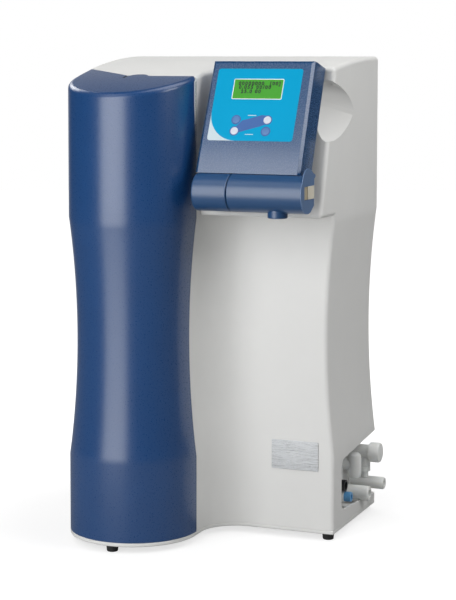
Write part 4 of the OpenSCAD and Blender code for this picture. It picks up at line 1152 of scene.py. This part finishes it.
@dataclass
class Console:
    """The tilted display console: case, printed film, character display and keys."""

    plan: BodyPlan
    width: float = 134.0
    low_half: tuple[float, float] = (71.2, 65.2)
    top_half: tuple[float, float] = (67.0, 66.0)
    slant: float = 0.0277
    height: float = 149.6
    depth: float = 42.0
    rise: float = 6.0
    chamfer: float = 3.4
    chin: float = 41.0
    chin_set: float = 1.5
    tilt: float = 21.4
    split: float = 22.0
    wall: float = 3.0
    inset: float = 15.5
    set_back: float = 53.0
    foot: float = 470.0
    barrel_y: float = -111.0
    barrel_z: float = 448.5
    saddle: float = 23.9
    film: tuple[float, float, float, float] = (-59.8, 44.6, 51.8, 138.9)
    film_thick: float = 0.7
    film_corner: float = 3.6
    film_play: float = 0.1
    print_corner: float = 37.0
    lcd: tuple[float, float, float, float] = (-36.4, 98.6, 29.2, 125.4)
    lcd_rim: float = 0.85
    key_radius: float = 4.9
    key_hole: float = 5.2
    key_ring: float = 1.3
    key_x: tuple[float, float] = (-25.5, 15.5)
    key_z: tuple[float, float] = (57.2, 71.8)
    key_proud: float = 0.6
    digit_size: float = 6.4
    digit_pitch: float = 1.36

    @property
    def middle(self) -> float:
        """X of the middle of the console."""
        return self.plan.column + self.inset + self.width / 2

    def slanted(self, mesh: BMesh) -> BMesh:
        """Slants what lies on the face by a hair, as the photograph shows it."""
        middle = (self.film[1] + self.film[3]) / 2
        return reshape(mesh, lambda spot: spot + Vector((self.slant * (spot.z - middle), 0, 0)))

    def seated(self, mesh: BMesh) -> BMesh:
        """Moves a mesh from the console's own frame to its place.

        Args:
            mesh: drawn with x across, z up the face and y into the console.

        Returns:
            The mesh.
        """
        spot = (self.middle, self.plan.front + self.set_back, self.foot)
        turn = Matrix.Translation(spot) @ Matrix.Rotation(-math.radians(self.tilt), 4, "X")
        bmesh.ops.transform(mesh, matrix=turn, verts=mesh.verts[:])
        return mesh

    def on_face(self, mesh: BMesh) -> BMesh:
        """Slants and seats what lies on the face."""
        return self.seated(self.slanted(mesh))

    def at_key(self, mesh: BMesh, column: int, row: int) -> BMesh:
        """Stands a mesh that was turned about Z on a key's place.

        Args:
            mesh: the mesh.
            column: 0 for the left keys, 1 for the right.
            row: 0 for the lower keys, 1 for the upper.

        Returns:
            The mesh.
        """
        spot = (self.key_x[column], 0, self.key_z[row])
        place = Matrix.Translation(spot) @ Matrix.Rotation(math.pi / 2, 4, "X")
        bmesh.ops.transform(mesh, matrix=place, verts=mesh.verts[:])
        return self.slanted(mesh)

    def plate(self, shape: Outline, front: float, back: float) -> BMesh:
        """Pulls a drawing of the face between two depths."""
        return shape.pull(-back, -front, FACE)

    def window(self, inset: float, radius: float, front: float, back: float) -> BMesh:
        """Makes a plate the size of the display, drawn in by an inset."""
        u0, v0, u1, v1 = self.lcd
        return self.plate(rounded(u0 + inset, v0 + inset, u1 - inset, v1 - inset, (radius,) * 4), front, back)

    def case_block(self) -> BMesh:
        """Makes the whole tapered case with its chamfered face.

        Returns:
            The case, before it is split and hollowed.
        """
        left, right = self.low_half
        mesh = block((-left, 0.0, 0.0), (right, self.depth, self.height))
        for vert in mesh.verts:
            if vert.co.z > 1:
                vert.co.x = -self.top_half[0] if vert.co.x < 0 else self.top_half[1]
                vert.co.z += self.rise * vert.co.y / self.depth
        face_edges = [e for e in mesh.edges if all(v.co.y < 1 for v in e.verts)]
        round_edges(mesh, [e for e in face_edges if any(v.co.z >= 1 for v in e.verts)], self.chamfer, 1)
        slice_at(mesh, 2, [self.chin * i / 8 for i in range(1, 9)])
        for vert in mesh.verts:
            if vert.co.z < self.chin:
                part = (self.chin - vert.co.z) / self.chin
                vert.co.y += self.chin_set * part * part * (1 - vert.co.y / self.depth)
        return mesh

    def hollow(self, front: bool) -> BMesh:
        """Makes the room inside one half of the case.

        Args:
            front: whether it is the half with the face.

        Returns:
            The room.
        """
        half = self.width / 2 - self.wall
        near = self.wall if front else self.split - 1
        far = self.split + 1 if front else self.depth - self.wall
        return block((-half + 2, near, 9.0), (half - 8, far, self.height - self.wall - self.chamfer))

    def face_cutters(self) -> list[BMesh]:
        """Makes the cutters for the film's pocket, the display's window and the key holes.

        Returns:
            The cutters.
        """
        u0, v0, u1, v1 = self.film
        play = self.film_play
        pocket = rounded(u0 - play, v0 - play, u1 + play, v1 + play, (self.film_corner,) * 4)
        cutters = [self.slanted(self.plate(pocket, -2.0, self.film_thick + play))]
        cutters.append(self.slanted(self.window(1.0, 1.0, -2, 6)))
        for column, row in ((0, 0), (0, 1), (1, 0), (1, 1)):
            cutters.append(self.at_key(rod(-6, 6, self.key_hole, Turn.ALONG_Z, (0, 0, 0), 32), column, row))
        return cutters

    def build_case(self) -> None:
        """Builds both halves of the case, each hollow and cut out over the barrel."""
        barrel = (self.middle, self.barrel_y, self.barrel_z)
        for front, name in ((True, "console_front"), (False, "console_back")):
            mesh = self.case_block()
            cut_off(mesh, (0, self.split, 0), (0, 1, 0), front)
            for cutter in [self.hollow(front)] + (self.face_cutters() if front else []):
                mesh = combine(mesh, cutter, Cut.REMOVE)
            room = rod(-self.width, self.width, self.saddle, Turn.ALONG_X, barrel, 96)
            mesh = combine(self.seated(mesh), room, Cut.REMOVE)
            Piece(name + "_case", mesh, BLUE_CASE, name, edge_mm=1.0, crease=28.0).place()

    def build_film(self) -> None:
        """Builds the printed film: a cyan field, a white corner and the violet key band."""
        u0, v0, u1, v1 = self.film
        r, big = self.film_corner, self.print_corner
        field = rounded(u0, v0, u1, v1, (big, r, r, r), 12)
        corner = Outline(u0, v0 + big).line(u0, v0 + r).arc(u0 + r, v0 + r, 90, 8).line(u0 + big, v0)
        corner.arc(u0 + big, v0 + big, -90, 12)
        for name, mesh, finish in (
            ("film_field", self.plate(field, 0.0, self.film_thick), CYAN_PRINT),
            ("film_corner", self.plate(corner, 0.0, self.film_thick), WHITE_PRINT),
            ("film_key_band", self.key_band(), VIOLET_PRINT),
            ("film_key_marks", self.key_marks(), WHITE_PRINT),
        ):
            Piece(name, self.on_face(mesh), finish, "key_film", edge_mm=0.06, edge_segments=1).place()

    def key_band(self) -> BMesh:
        """Makes the slanted violet band between two keys, with a ring round each key.

        Returns:
            The band.
        """
        (x0, x1), (z0, z1) = self.key_x, self.key_z
        ring = self.key_radius + self.key_ring
        run = Outline(x0 + 1.0, z0 - 5.8)
        run.lines([(x0 + 6, z0 - 1.6), (x1 - 8.5, z1 - 8.3), (x1 - 2, z1 - 5.8), (x1 - 2, z1 + 5.8)])
        run.lines([(x1 - 8, z1 + 6.4), (x0 + 8, z0 + 13.6), (x0 + 1, z0 + 5.8)])
        mesh = self.plate(run, -0.06, 0.02)
        for x, z in ((x0, z0), (x0, z1), (x1, z0), (x1, z1)):
            disc = rounded(x - ring, z - ring, x + ring, z + ring, (ring,) * 4, 10)
            mesh = combine(mesh, self.plate(disc, -0.06, 0.02), Cut.JOIN)
        return mesh

    def key_marks(self) -> BMesh:
        """Makes the two plain dashes beside the band, where a keypad has its captions.

        Returns:
            The dashes.
        """
        middle = sum(self.key_x) / 2
        feet = (self.key_z[1] + 5.4, self.key_z[0] - 4.6)
        dashes = [rounded(middle - 6.0, z, middle + 5.0, z + 0.9, (0.3,) * 4, 3) for z in feet]
        return join(*[self.plate(dash, -0.08, 0.02) for dash in dashes])

    def build_display(self) -> None:
        """Builds the display's white rim, its green glass and its readings."""
        rim = self.lcd_rim
        ring = combine(self.window(0.0, 1.5, -0.5, 0.7), self.window(rim, 0.6, -2.0, 2.0), Cut.REMOVE)
        Piece("display_rim", self.on_face(ring), WHITE_POLYMER, "lcd_frame", edge_mm=0.2).place()
        glass = self.on_face(self.window(rim + 0.05, 0.5, -0.2, 9.0))
        Piece("display_glass", glass, LCD_GREEN, "lcd_glass", edge_mm=0.1, edge_segments=2).place()
        lines = [(6.3, 8.1, "00000000"), (47.4, 8.1, "[00]"), (7.5, 13.1, "0.055 00/00")]
        lines.append((11.0, 18.6, "25.0 00"))
        left, top = self.lcd[0], self.lcd[3]
        readings = join(*[self.reading(left + x, top - z, words) for x, z, words in lines])
        Piece("display_readings", self.on_face(readings), LCD_INK).place()

    def reading(self, x: float, z: float, words: str) -> BMesh:
        """Makes one line of the display as flat raised characters.

        Args:
            x: left end.
            z: foot of the characters.
            words: plain numbers.

        Returns:
            The characters.
        """
        text = bpy.data.curves.new("reading", "FONT")
        text.body = words
        text.size = self.digit_size
        text.space_character = self.digit_pitch
        text.offset = 0.3
        text.extrude = 0.03
        carrier = linked("reading", text)
        graph = bpy.context.evaluated_depsgraph_get()
        mesh = bmesh.new()
        mesh.from_mesh(carrier.evaluated_get(graph).to_mesh())
        bpy.data.objects.remove(carrier)
        bpy.data.curves.remove(text)
        bmesh.ops.translate(mesh, vec=(x, z, 0.24), verts=mesh.verts[:])
        bmesh.ops.transform(mesh, matrix=FACE, verts=mesh.verts[:])
        return mesh

    def build_keys(self) -> None:
        """Builds the four keys as low domes that rise through the film."""
        r, proud = self.key_radius, self.key_proud
        profile = [(-4.0, 0.0), (-4.0, r), (proud - 0.35, r), (proud - 0.1, r - 0.25), (proud, r - 0.7)]
        profile.append((proud + 0.15, 0.0))
        for name, column, row, finish in (
            ("upper_left", 0, 1, KEY_VIOLET),
            ("upper_right", 1, 1, KEY_WHITE),
            ("lower_left", 0, 0, KEY_WHITE),
            ("lower_right", 1, 0, KEY_VIOLET),
        ):
            mesh = self.seated(self.at_key(turned(profile, Turn.ALONG_Z, (0, 0, 0), 40), column, row))
            Piece(name + "_key_cap", mesh, finish, name + "_key", name + "_button").place()

    def build(self) -> None:
        """Builds the whole console."""
        self.build_case()
        self.build_film()
        self.build_display()
        self.build_keys()


@dataclass
class Dispenser:
    """The dispensing barrel under the console: knob, fixed barrel, end plate, tab and nozzle."""

    y: float = -111.0
    z: float = 448.5
    radius: float = 23.3
    lip: float = 0.9
    knob_left: float = 16.4
    knob_right: float = 62.3
    seam: float = 0.8
    barrel_right: float = 158.4
    arm_low: float = 13.0
    arm_high: float = 5.5
    arm_tilt: float = 16.0
    end_thick: float = 1.3
    hump: float = 20.0
    hump_rise: float = 11.6
    hump_back: float = 3.0
    nozzle_x: float = 121.7
    nozzle_bore: float = 6.6
    tab_front: float = -121.5
    tab_step: float = -109.0
    tab_back: float = -86.5

    def build_knob(self) -> None:
        """Builds the turning knob, with a softly rounded left end."""
        r, left, right = self.radius, self.knob_left, self.knob_right
        profile = [(left, 0), (left, r - 3.2), (left + 0.4, r - 1.6), (left + 1.2, r - 0.5), (left + 2.6, r)]
        profile += [(right - self.lip, r), (right, r - self.lip), (right, r - 3)]
        profile += [(left + 18, r - 3), (left + 18, 0)]
        mesh = turned(profile, Turn.ALONG_X, (0, self.y, self.z), 96)
        Piece("dispensing_knob", mesh, BLUE_BARREL, "dispense_knob", Body.KNOB.value, crease=40.0).place()

    def build_barrel(self) -> None:
        """Builds the fixed barrel and the arm that joins it to the head."""
        low, high = (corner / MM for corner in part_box("outlet_barrel"))
        r, left, right = self.radius, self.knob_right + self.seam, self.barrel_right
        profile = [(left, 0.0), (left, r - self.lip), (left + self.lip, r), (right, r), (right, 0)]
        mesh = turned(profile, Turn.ALONG_X, (0, self.y, self.z), 96)
        arm = block((low.x + 4, self.y, self.z - self.arm_low), (high.x - 10, high.y, self.z + self.arm_high))
        for vert in arm.verts:
            if vert.co.y > self.y + 1 and vert.co.z < self.z:
                vert.co.y -= (self.arm_low + self.arm_high) * math.tan(math.radians(self.arm_tilt))
        mesh = combine(mesh, arm, Cut.JOIN)
        Piece("outlet_barrel_shell", mesh, BLUE_BARREL, "outlet_barrel", edge_mm=0.4, crease=40.0).place()

    def build_end(self) -> None:
        """Builds the end plate and the cream tab that locks it."""
        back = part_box("barrel_end_plate")[1].y / MM
        low, high = (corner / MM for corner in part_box("locking_tab"))
        r, left, right = self.radius, self.barrel_right + 0.1, self.barrel_right + self.end_thick
        disc = rod(left, right, r, Turn.ALONG_X, (0, self.y, self.z), 96)
        lug = rod(left, right, self.hump, Turn.ALONG_X, (0, self.y + self.hump_back, self.z + self.hump_rise))
        corners = [(0, -r), (5, -r), (12, -22), (25, -14.5), (25.5, 18), (30, 20.5), (29.6, 22.8)]
        corners += [(22, 25), (17, 28), (11, 30.5), (0, 31)]
        first, *rest = [(self.y + dy, self.z + dz) for dy, dz in corners]
        side = Outline(*first).lines(rest).pull(left, right, SIDE)
        mesh = combine(combine(disc, lug, Cut.JOIN), side, Cut.JOIN)
        notch = block((low.x - 1, self.tab_front - 0.1, low.z - 0.1), (right + 1, back + 5, high.z + 0.1))
        mesh = combine(mesh, notch, Cut.REMOVE)
        # The end plate's paler blue is a painted reflection of the bright backdrop.
        Piece("barrel_end_cap", mesh, BLUE_END_PAINTED_REFLECTION, "barrel_end_plate", edge_mm=0.3, crease=40.0).place()
        # The root's deeper beige is painted shade where it sits sunk below the grip.
        root = block((low.x, self.tab_front, low.z), (right - 1.2, self.tab_step, high.z))
        grip = block((low.x, self.tab_step + 0.05, low.z), (right + 0.4, self.tab_back, high.z))
        Piece("tab_root", root, TAB_PAINTED_SHADE, "locking_tab", edge_mm=0.3).place()
        Piece("tab_grip", grip, CREAM_TAB, "locking_tab", edge_mm=0.6).place()

    def build_nozzle(self) -> None:
        """Builds the outlet nozzle with its bore."""
        box_low, box_high = (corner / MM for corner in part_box("outlet_nozzle"))
        r, bore, low, high = (box_high.x - box_low.x) / 2, self.nozzle_bore, box_low.z, box_high.z
        profile = [(low + 1.0, bore), (low, bore + 0.8), (low, r - 1.4), (low + 0.4, r - 0.4), (low + 1.4, r)]
        profile += [(high, r), (high, bore), (low + 1.0, bore)]
        mesh = turned(profile, Turn.ALONG_Z, (self.nozzle_x, (box_low.y + box_high.y) / 2, 0), 64)
        Piece("nozzle_ring", mesh, BLUE_BARREL, "outlet_nozzle").place()

    def build(self) -> None:
        """Builds the whole dispenser."""
        self.build_knob()
        self.build_barrel()
        self.build_end()
        self.build_nozzle()


@dataclass
class HoseBay:
    """The tray behind the hose bay's opening, with its hose ports and socket."""

    plan: BodyPlan
    wall: float = 2.5
    inset: float = 3.1
    stack_x: float = 158.0
    stack_y: float = 135.0
    lower_z: float = 43.3
    upper_z: float = 84.4
    collar: tuple[float, float] = (58.1, 64.1)
    reach: float = 22.0
    valve_y: float = 110.0
    valve_z: float = 72.0

    @property
    def root(self) -> float:
        """X at which the ports leave the tray's wall."""
        return self.plan.right - self.plan.bay_depth + 0.1

    def build_tray(self) -> None:
        """Builds the open tray that lines the bay."""
        plan, wall = self.plan, self.wall
        low = (plan.right - plan.bay_depth, plan.panel + plan.bay_run, plan.bay_low)
        high = (plan.right - self.inset, plan.back - self.inset, plan.bay_high + wall)
        inner = block(low, (plan.right + 9, plan.back + 9, plan.bay_high))
        tray = combine(block([value - wall for value in low], high), inner, Cut.REMOVE)
        Piece("bay_lining", tray, WHITE_SHELL, "bay_tray", edge_mm=0.6).place()

    def build_stack(self) -> None:
        """Builds the two stacked ports, the collar between them and the upper port's cap."""
        root, right = self.root, self.plan.right
        upright = (self.stack_x, self.stack_y, 0)
        lower, upper = (0, self.stack_y, self.lower_z), (0, self.stack_y, self.upper_z)
        end, near, far = right + self.reach, right + 2.1, right + 17
        low, high = self.collar
        spout = [(root, 0), (root, 11), (root + 2, 11), (root + 2, 8), (right, 8), (right, 8.2)]
        spout += [(end - 1.6, 8.2), (end, 7.2), (end, 4.05), (right - 14, 4.05), (right - 14, 0)]
        stem = rod(self.lower_z, low - 0.1, 5.2, Turn.ALONG_Z, upright)
        ring = [(low, 0), (low, 7.2), (low + 0.5, 7.8), (high - 0.5, 7.8), (high, 7.2), (high, 0)]
        elbow = [(root, 0), (root, 12), (root + 2, 12), (root + 2, 9.6), (right + 2, 9.6), (right + 2, 0)]
        drop = rod(high + 0.1, self.upper_z, 7.6, Turn.ALONG_Z, upright)
        cap = [(near, 0), (near, 13), (near + 1, 13.4), (far - 2.7, 13.4), (far - 0.8, 12.4), (far, 10.4)]
        cap.append((far, 0))
        below = join(turned(spout, Turn.ALONG_X, lower), stem)
        above = join(turned(elbow, Turn.ALONG_X, upper), drop)
        for name, mesh, finish, node in (
            ("lower_hose_port", below, NATURAL_POLYMER, "lower_port"),
            ("union_ring", turned(ring, Turn.ALONG_Z, upright), WHITE_POLYMER, "union_collar"),
            ("upper_port_elbow", above, NATURAL_POLYMER, "upper_port"),
            ("upper_port_round_cap", turned(cap, Turn.ALONG_X, upper), NATURAL_POLYMER, "upper_port_cap"),
        ):
            Piece(name, mesh, finish, node).place()

    def build_ports(self) -> None:
        """Builds the check valve, drain, feed port with its collet, and the round socket."""
        root, right = self.root, self.plan.right
        dome = [(52, 0), (52.6, 5), (55, 8), (59, 9.4), (80, 9.4), (84.5, 8.4), (87.4, 5.5), (88.4, 0)]
        neck = rod(root, right - 14, 9, Turn.ALONG_X, (0, self.valve_y, self.valve_z))
        valve = join(turned(dome, Turn.ALONG_Z, (right - 12.4, self.valve_y, 0)), neck)
        Piece("check_valve_body", valve, NATURAL_POLYMER, "check_valve").place()
        drain = [(root, 0), (root, 12), (root + 2, 12), (root + 2, 9.8), (right + 9.8, 9.8)]
        drain += [(right + 11, 8.8), (right + 11, 5.05), (right - 14, 5.05), (right - 14, 0)]
        deep = right - 22
        feed = [(root, 0), (root, 8), (right - 13, 8), (right - 13, 3.05), (deep, 3.05), (deep, 0)]
        near, far = right - 12.9, right - 4
        collet = [(near, 3.5), (near, 6.6), (right - 5, 6.6), (far, 6), (far, 3.5), (near, 3.5)]
        socket = [(root, 0), (root, 7.6), (right - 10.5, 7.6), (right - 10.5, 5.5), (deep, 5.5), (deep, 0)]
        for name, profile, y, z, finish, node in (
            ("drain_tube", drain, 104, 35.4, NATURAL_POLYMER, "drain_port"),
            ("feed_port_body", feed, 72, 36.7, WHITE_POLYMER, "feed_port"),
            ("feed_collet_ring", collet, 72, 36.7, BLUE_COLLET, "feed_collet"),
            ("round_socket", socket, 68, 52, BLACK_POLYMER, "power_socket"),
        ):
            Piece(name, turned(profile, Turn.ALONG_X, (0, y, z)), finish, node).place()

    def build(self) -> None:
        """Builds the whole bay."""
        self.build_tray()
        self.build_stack()
        self.build_ports()


@dataclass
class CarriedOver:
    """The pieces whose solids are shown as they are: each gets the finish of its slot."""

    subparts: list[dict]
    outer: Sequence[Finish] = (BLUE_SHELL, WHITE_SHELL, NATURAL_POLYMER, BRUSHED_STEEL, RUBBER, BLACK_POLYMER)

    def dress(self) -> None:
        """Dresses every node that no piece replaces."""
        slots = {part["node"]: part["material_slot"] for part in self.subparts}
        finishes = {finish.slot: finish for finish in (*self.outer, *INNER_FINISHES)}
        for name, node in frame["nodes"].items():
            if node.hide_render:
                continue
            finish = finishes[slots[name]]
            node.data.materials.clear()
            node.data.materials.append(finish.material())
            LOG.info("%s keeps its solid, with finish %s", name, finish.name)


@dataclass(frozen=True)
class Lamp:
    """One soft rectangular lamp; its places and sizes are in metres."""

    name: str
    spot: Point
    aim: Point
    size: tuple[float, float]
    watts: float

    def build(self) -> None:
        """Hangs the lamp, out of the camera's sight."""
        data = bpy.data.lights.new(self.name, "AREA")
        data.shape = "RECTANGLE"
        data.size, data.size_y = self.size
        data.energy = self.watts
        made = linked(self.name, data)
        made.location = self.spot
        made.rotation_euler = (Vector(self.aim) - Vector(self.spot)).to_track_quat("-Z", "Y").to_euler()
        made.visible_camera = False


LAMPS = (
    Lamp("front_softbox", (-0.36, -1.38, 0.76), (-0.02, -0.1, 0.76), (1.02, 1.5), 19.0),
    Lamp("upper_softbox", (-0.62, -0.8, 2.02), (0.05, -0.1, 0.45), (0.9, 0.7), 3.2),
    Lamp("fill_softbox", (0.98, -0.15, 0.9), (0.16, 0.0, 0.35), (0.5, 0.5), 3.5),
    Lamp("rim_softbox", (-1.15, 0.66, 1.33), (-0.1, -0.09, 0.58), (0.6, 0.5), 5.0),
    Lamp("overhead_softbox", (0.55, 0.2, 1.85), (0.0, 0.1, 0.5), (1.2, 1.2), 10.5),
)


@dataclass
class Studio:
    """Pale floor, white background, soft lamps and the camera."""

    eye: tuple[float, float, float] = (851.0, -2104.0, 610.0)
    yaw: float = 21.72
    pitch: float = 4.68
    roll: float = 0.08
    focal_px: float = 1759.0
    sensor: float = 36.0
    shift_y: float = -0.16
    ambient: float = 0.28
    room: float = 0.05
    backdrop: tuple[float, float, float] = (-0.37, 0.93, 0.0)
    floor_radius: float = 6.0
    floor_paint: str = "#a2a2a2"

    def build_camera(self) -> None:
        """Makes the camera at the photograph's viewing angle."""
        data = bpy.data.cameras.new("camera")
        data.sensor_width = self.sensor
        data.lens = self.focal_px / IMAGE_H * self.sensor
        data.shift_y = self.shift_y
        made = linked("camera", data)
        turns = ((self.yaw, "Z"), (90 - self.pitch, "X"), (self.roll, "Z"))
        yaw, pitch, roll = (Matrix.Rotation(math.radians(angle), 4, axis) for angle, axis in turns)
        made.matrix_world = Matrix.Translation([c * MM for c in self.eye]) @ yaw @ pitch @ roll
        bpy.context.scene.camera = made

    def direct(self, tree: bpy.types.NodeTree, rays: bpy.types.bpy_prop_collection) -> Socket:
        """Is 1 for rays straight from the camera or through clear pieces, and 0 for others."""
        both = {0: rays["Is Camera Ray"], 1: rays["Is Transmission Ray"]}
        return add_node(tree, "Math", both, operation="MAXIMUM").outputs[0]

    def behind(self, tree: bpy.types.NodeTree, way: Socket, levels: Point, kind: str) -> Socket:
        """Makes a level that changes towards the backdrop behind the unit.

        Args:
            tree: the node tree.
            way: the direction looked in.
            levels: level away from the backdrop, and on it.
            kind: how the level changes between them.

        Returns:
            The level.
        """
        facing = add_node(tree, "VectorMath", {0: way, 1: self.backdrop}, operation="DOT_PRODUCT")
        band = {"Value": facing.outputs["Value"], "From Min": 0.8, "From Max": 0.97}
        band |= {"To Min": levels[0], "To Max": levels[1]}
        return add_node(tree, "MapRange", band, interpolation_type=kind).outputs["Result"]

    def build_world(self) -> None:
        """Makes a white background that lights the unit only softly, with a dim room in front of it."""
        world = bpy.data.worlds.new("studio")
        tree = blank_tree(world)
        rays = add_node(tree, "LightPath").outputs
        look = add_node(tree, "TexCoord").outputs["Generated"]
        sweep = self.behind(tree, look, (self.room, 0.6), "SMOOTHSTEP")
        gloss = add_node(tree, "Mix", {0: rays["Is Glossy Ray"], 2: self.ambient, 3: sweep}).outputs[0]
        level = add_node(tree, "Mix", {0: self.direct(tree, rays), 2: gloss, 3: 1.0}).outputs[0]
        sky = add_node(tree, "Background", {"Color": (1, 1, 1, 1), "Strength": level})
        add_node(tree, "OutputWorld", {"Surface": sky.outputs["Background"]})
        bpy.context.scene.world = world

    def build_floor(self) -> None:
        """Makes a pale floor that keeps the shadow and fades into the white background."""
        mesh = bmesh.new()
        bmesh.ops.create_circle(mesh, cap_ends=True, segments=96, radius=self.floor_radius)
        made = linked("floor", stowed(mesh, "floor"))
        material = bpy.data.materials.new("pale_floor")
        tree = blank_tree(material)
        rays = add_node(tree, "LightPath").outputs
        place = add_node(tree, "TexCoord").outputs["Object"]
        away = add_node(tree, "VectorMath", {0: place}, operation="LENGTH").outputs["Value"]
        near = {"Value": away, "From Min": 0.22, "From Max": 0.62, "To Min": 0.7, "To Max": 1.0}
        fade = add_node(tree, "MapRange", near, interpolation_type="SMOOTHSTEP").outputs["Result"]
        way = add_node(tree, "VectorMath", {0: place}, operation="NORMALIZE").outputs["Vector"]
        mirrored = {0: rays["Is Glossy Ray"], 1: self.behind(tree, way, (0.0, 0.5), "LINEAR")}
        gloss = add_node(tree, "Math", mirrored, operation="MULTIPLY").outputs[0]
        shown = add_node(tree, "Math", {0: self.direct(tree, rays), 1: gloss}, operation="MAXIMUM").outputs[0]
        level = add_node(tree, "Math", {0: fade, 1: shown}, operation="MULTIPLY").outputs[0]
        paint = add_node(tree, "BsdfDiffuse", {"Color": linear(self.floor_paint)}).outputs["BSDF"]
        glow = add_node(tree, "Emission", {"Color": (1, 1, 1, 1), "Strength": level}).outputs["Emission"]
        both = add_node(tree, "AddShader", {0: paint, 1: glow}).outputs["Shader"]
        add_node(tree, "OutputMaterial", {"Surface": both})
        made.data.materials.append(material)

    def build(self) -> None:
        """Builds the studio."""
        bpy.context.scene.view_settings.view_transform = "Standard"
        self.build_camera()
        self.build_world()
        self.build_floor()
        for lamp in LAMPS:
            lamp.build()


def measured_plan() -> BodyPlan:
    """Reads the unit's overall outline from the frame."""
    low, high = (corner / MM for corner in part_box("base_plate"))
    return BodyPlan(low.x, high.x, low.y, high.y, high.z)


def main() -> None:
    """Builds the studio and the unit, sub-assembly by sub-assembly."""
    logging.basicConfig(level=logging.INFO, format="%(message)s")
    plan = measured_plan()
    Studio().build()
    for assembly in (FrontCover(plan), Housing(plan), Base(plan), Console(plan), Dispenser(), HoseBay(plan)):
        assembly.build()
    CarriedOver(frame["record"]["subparts"]).dress()


if __name__ == "__main__":
    main()
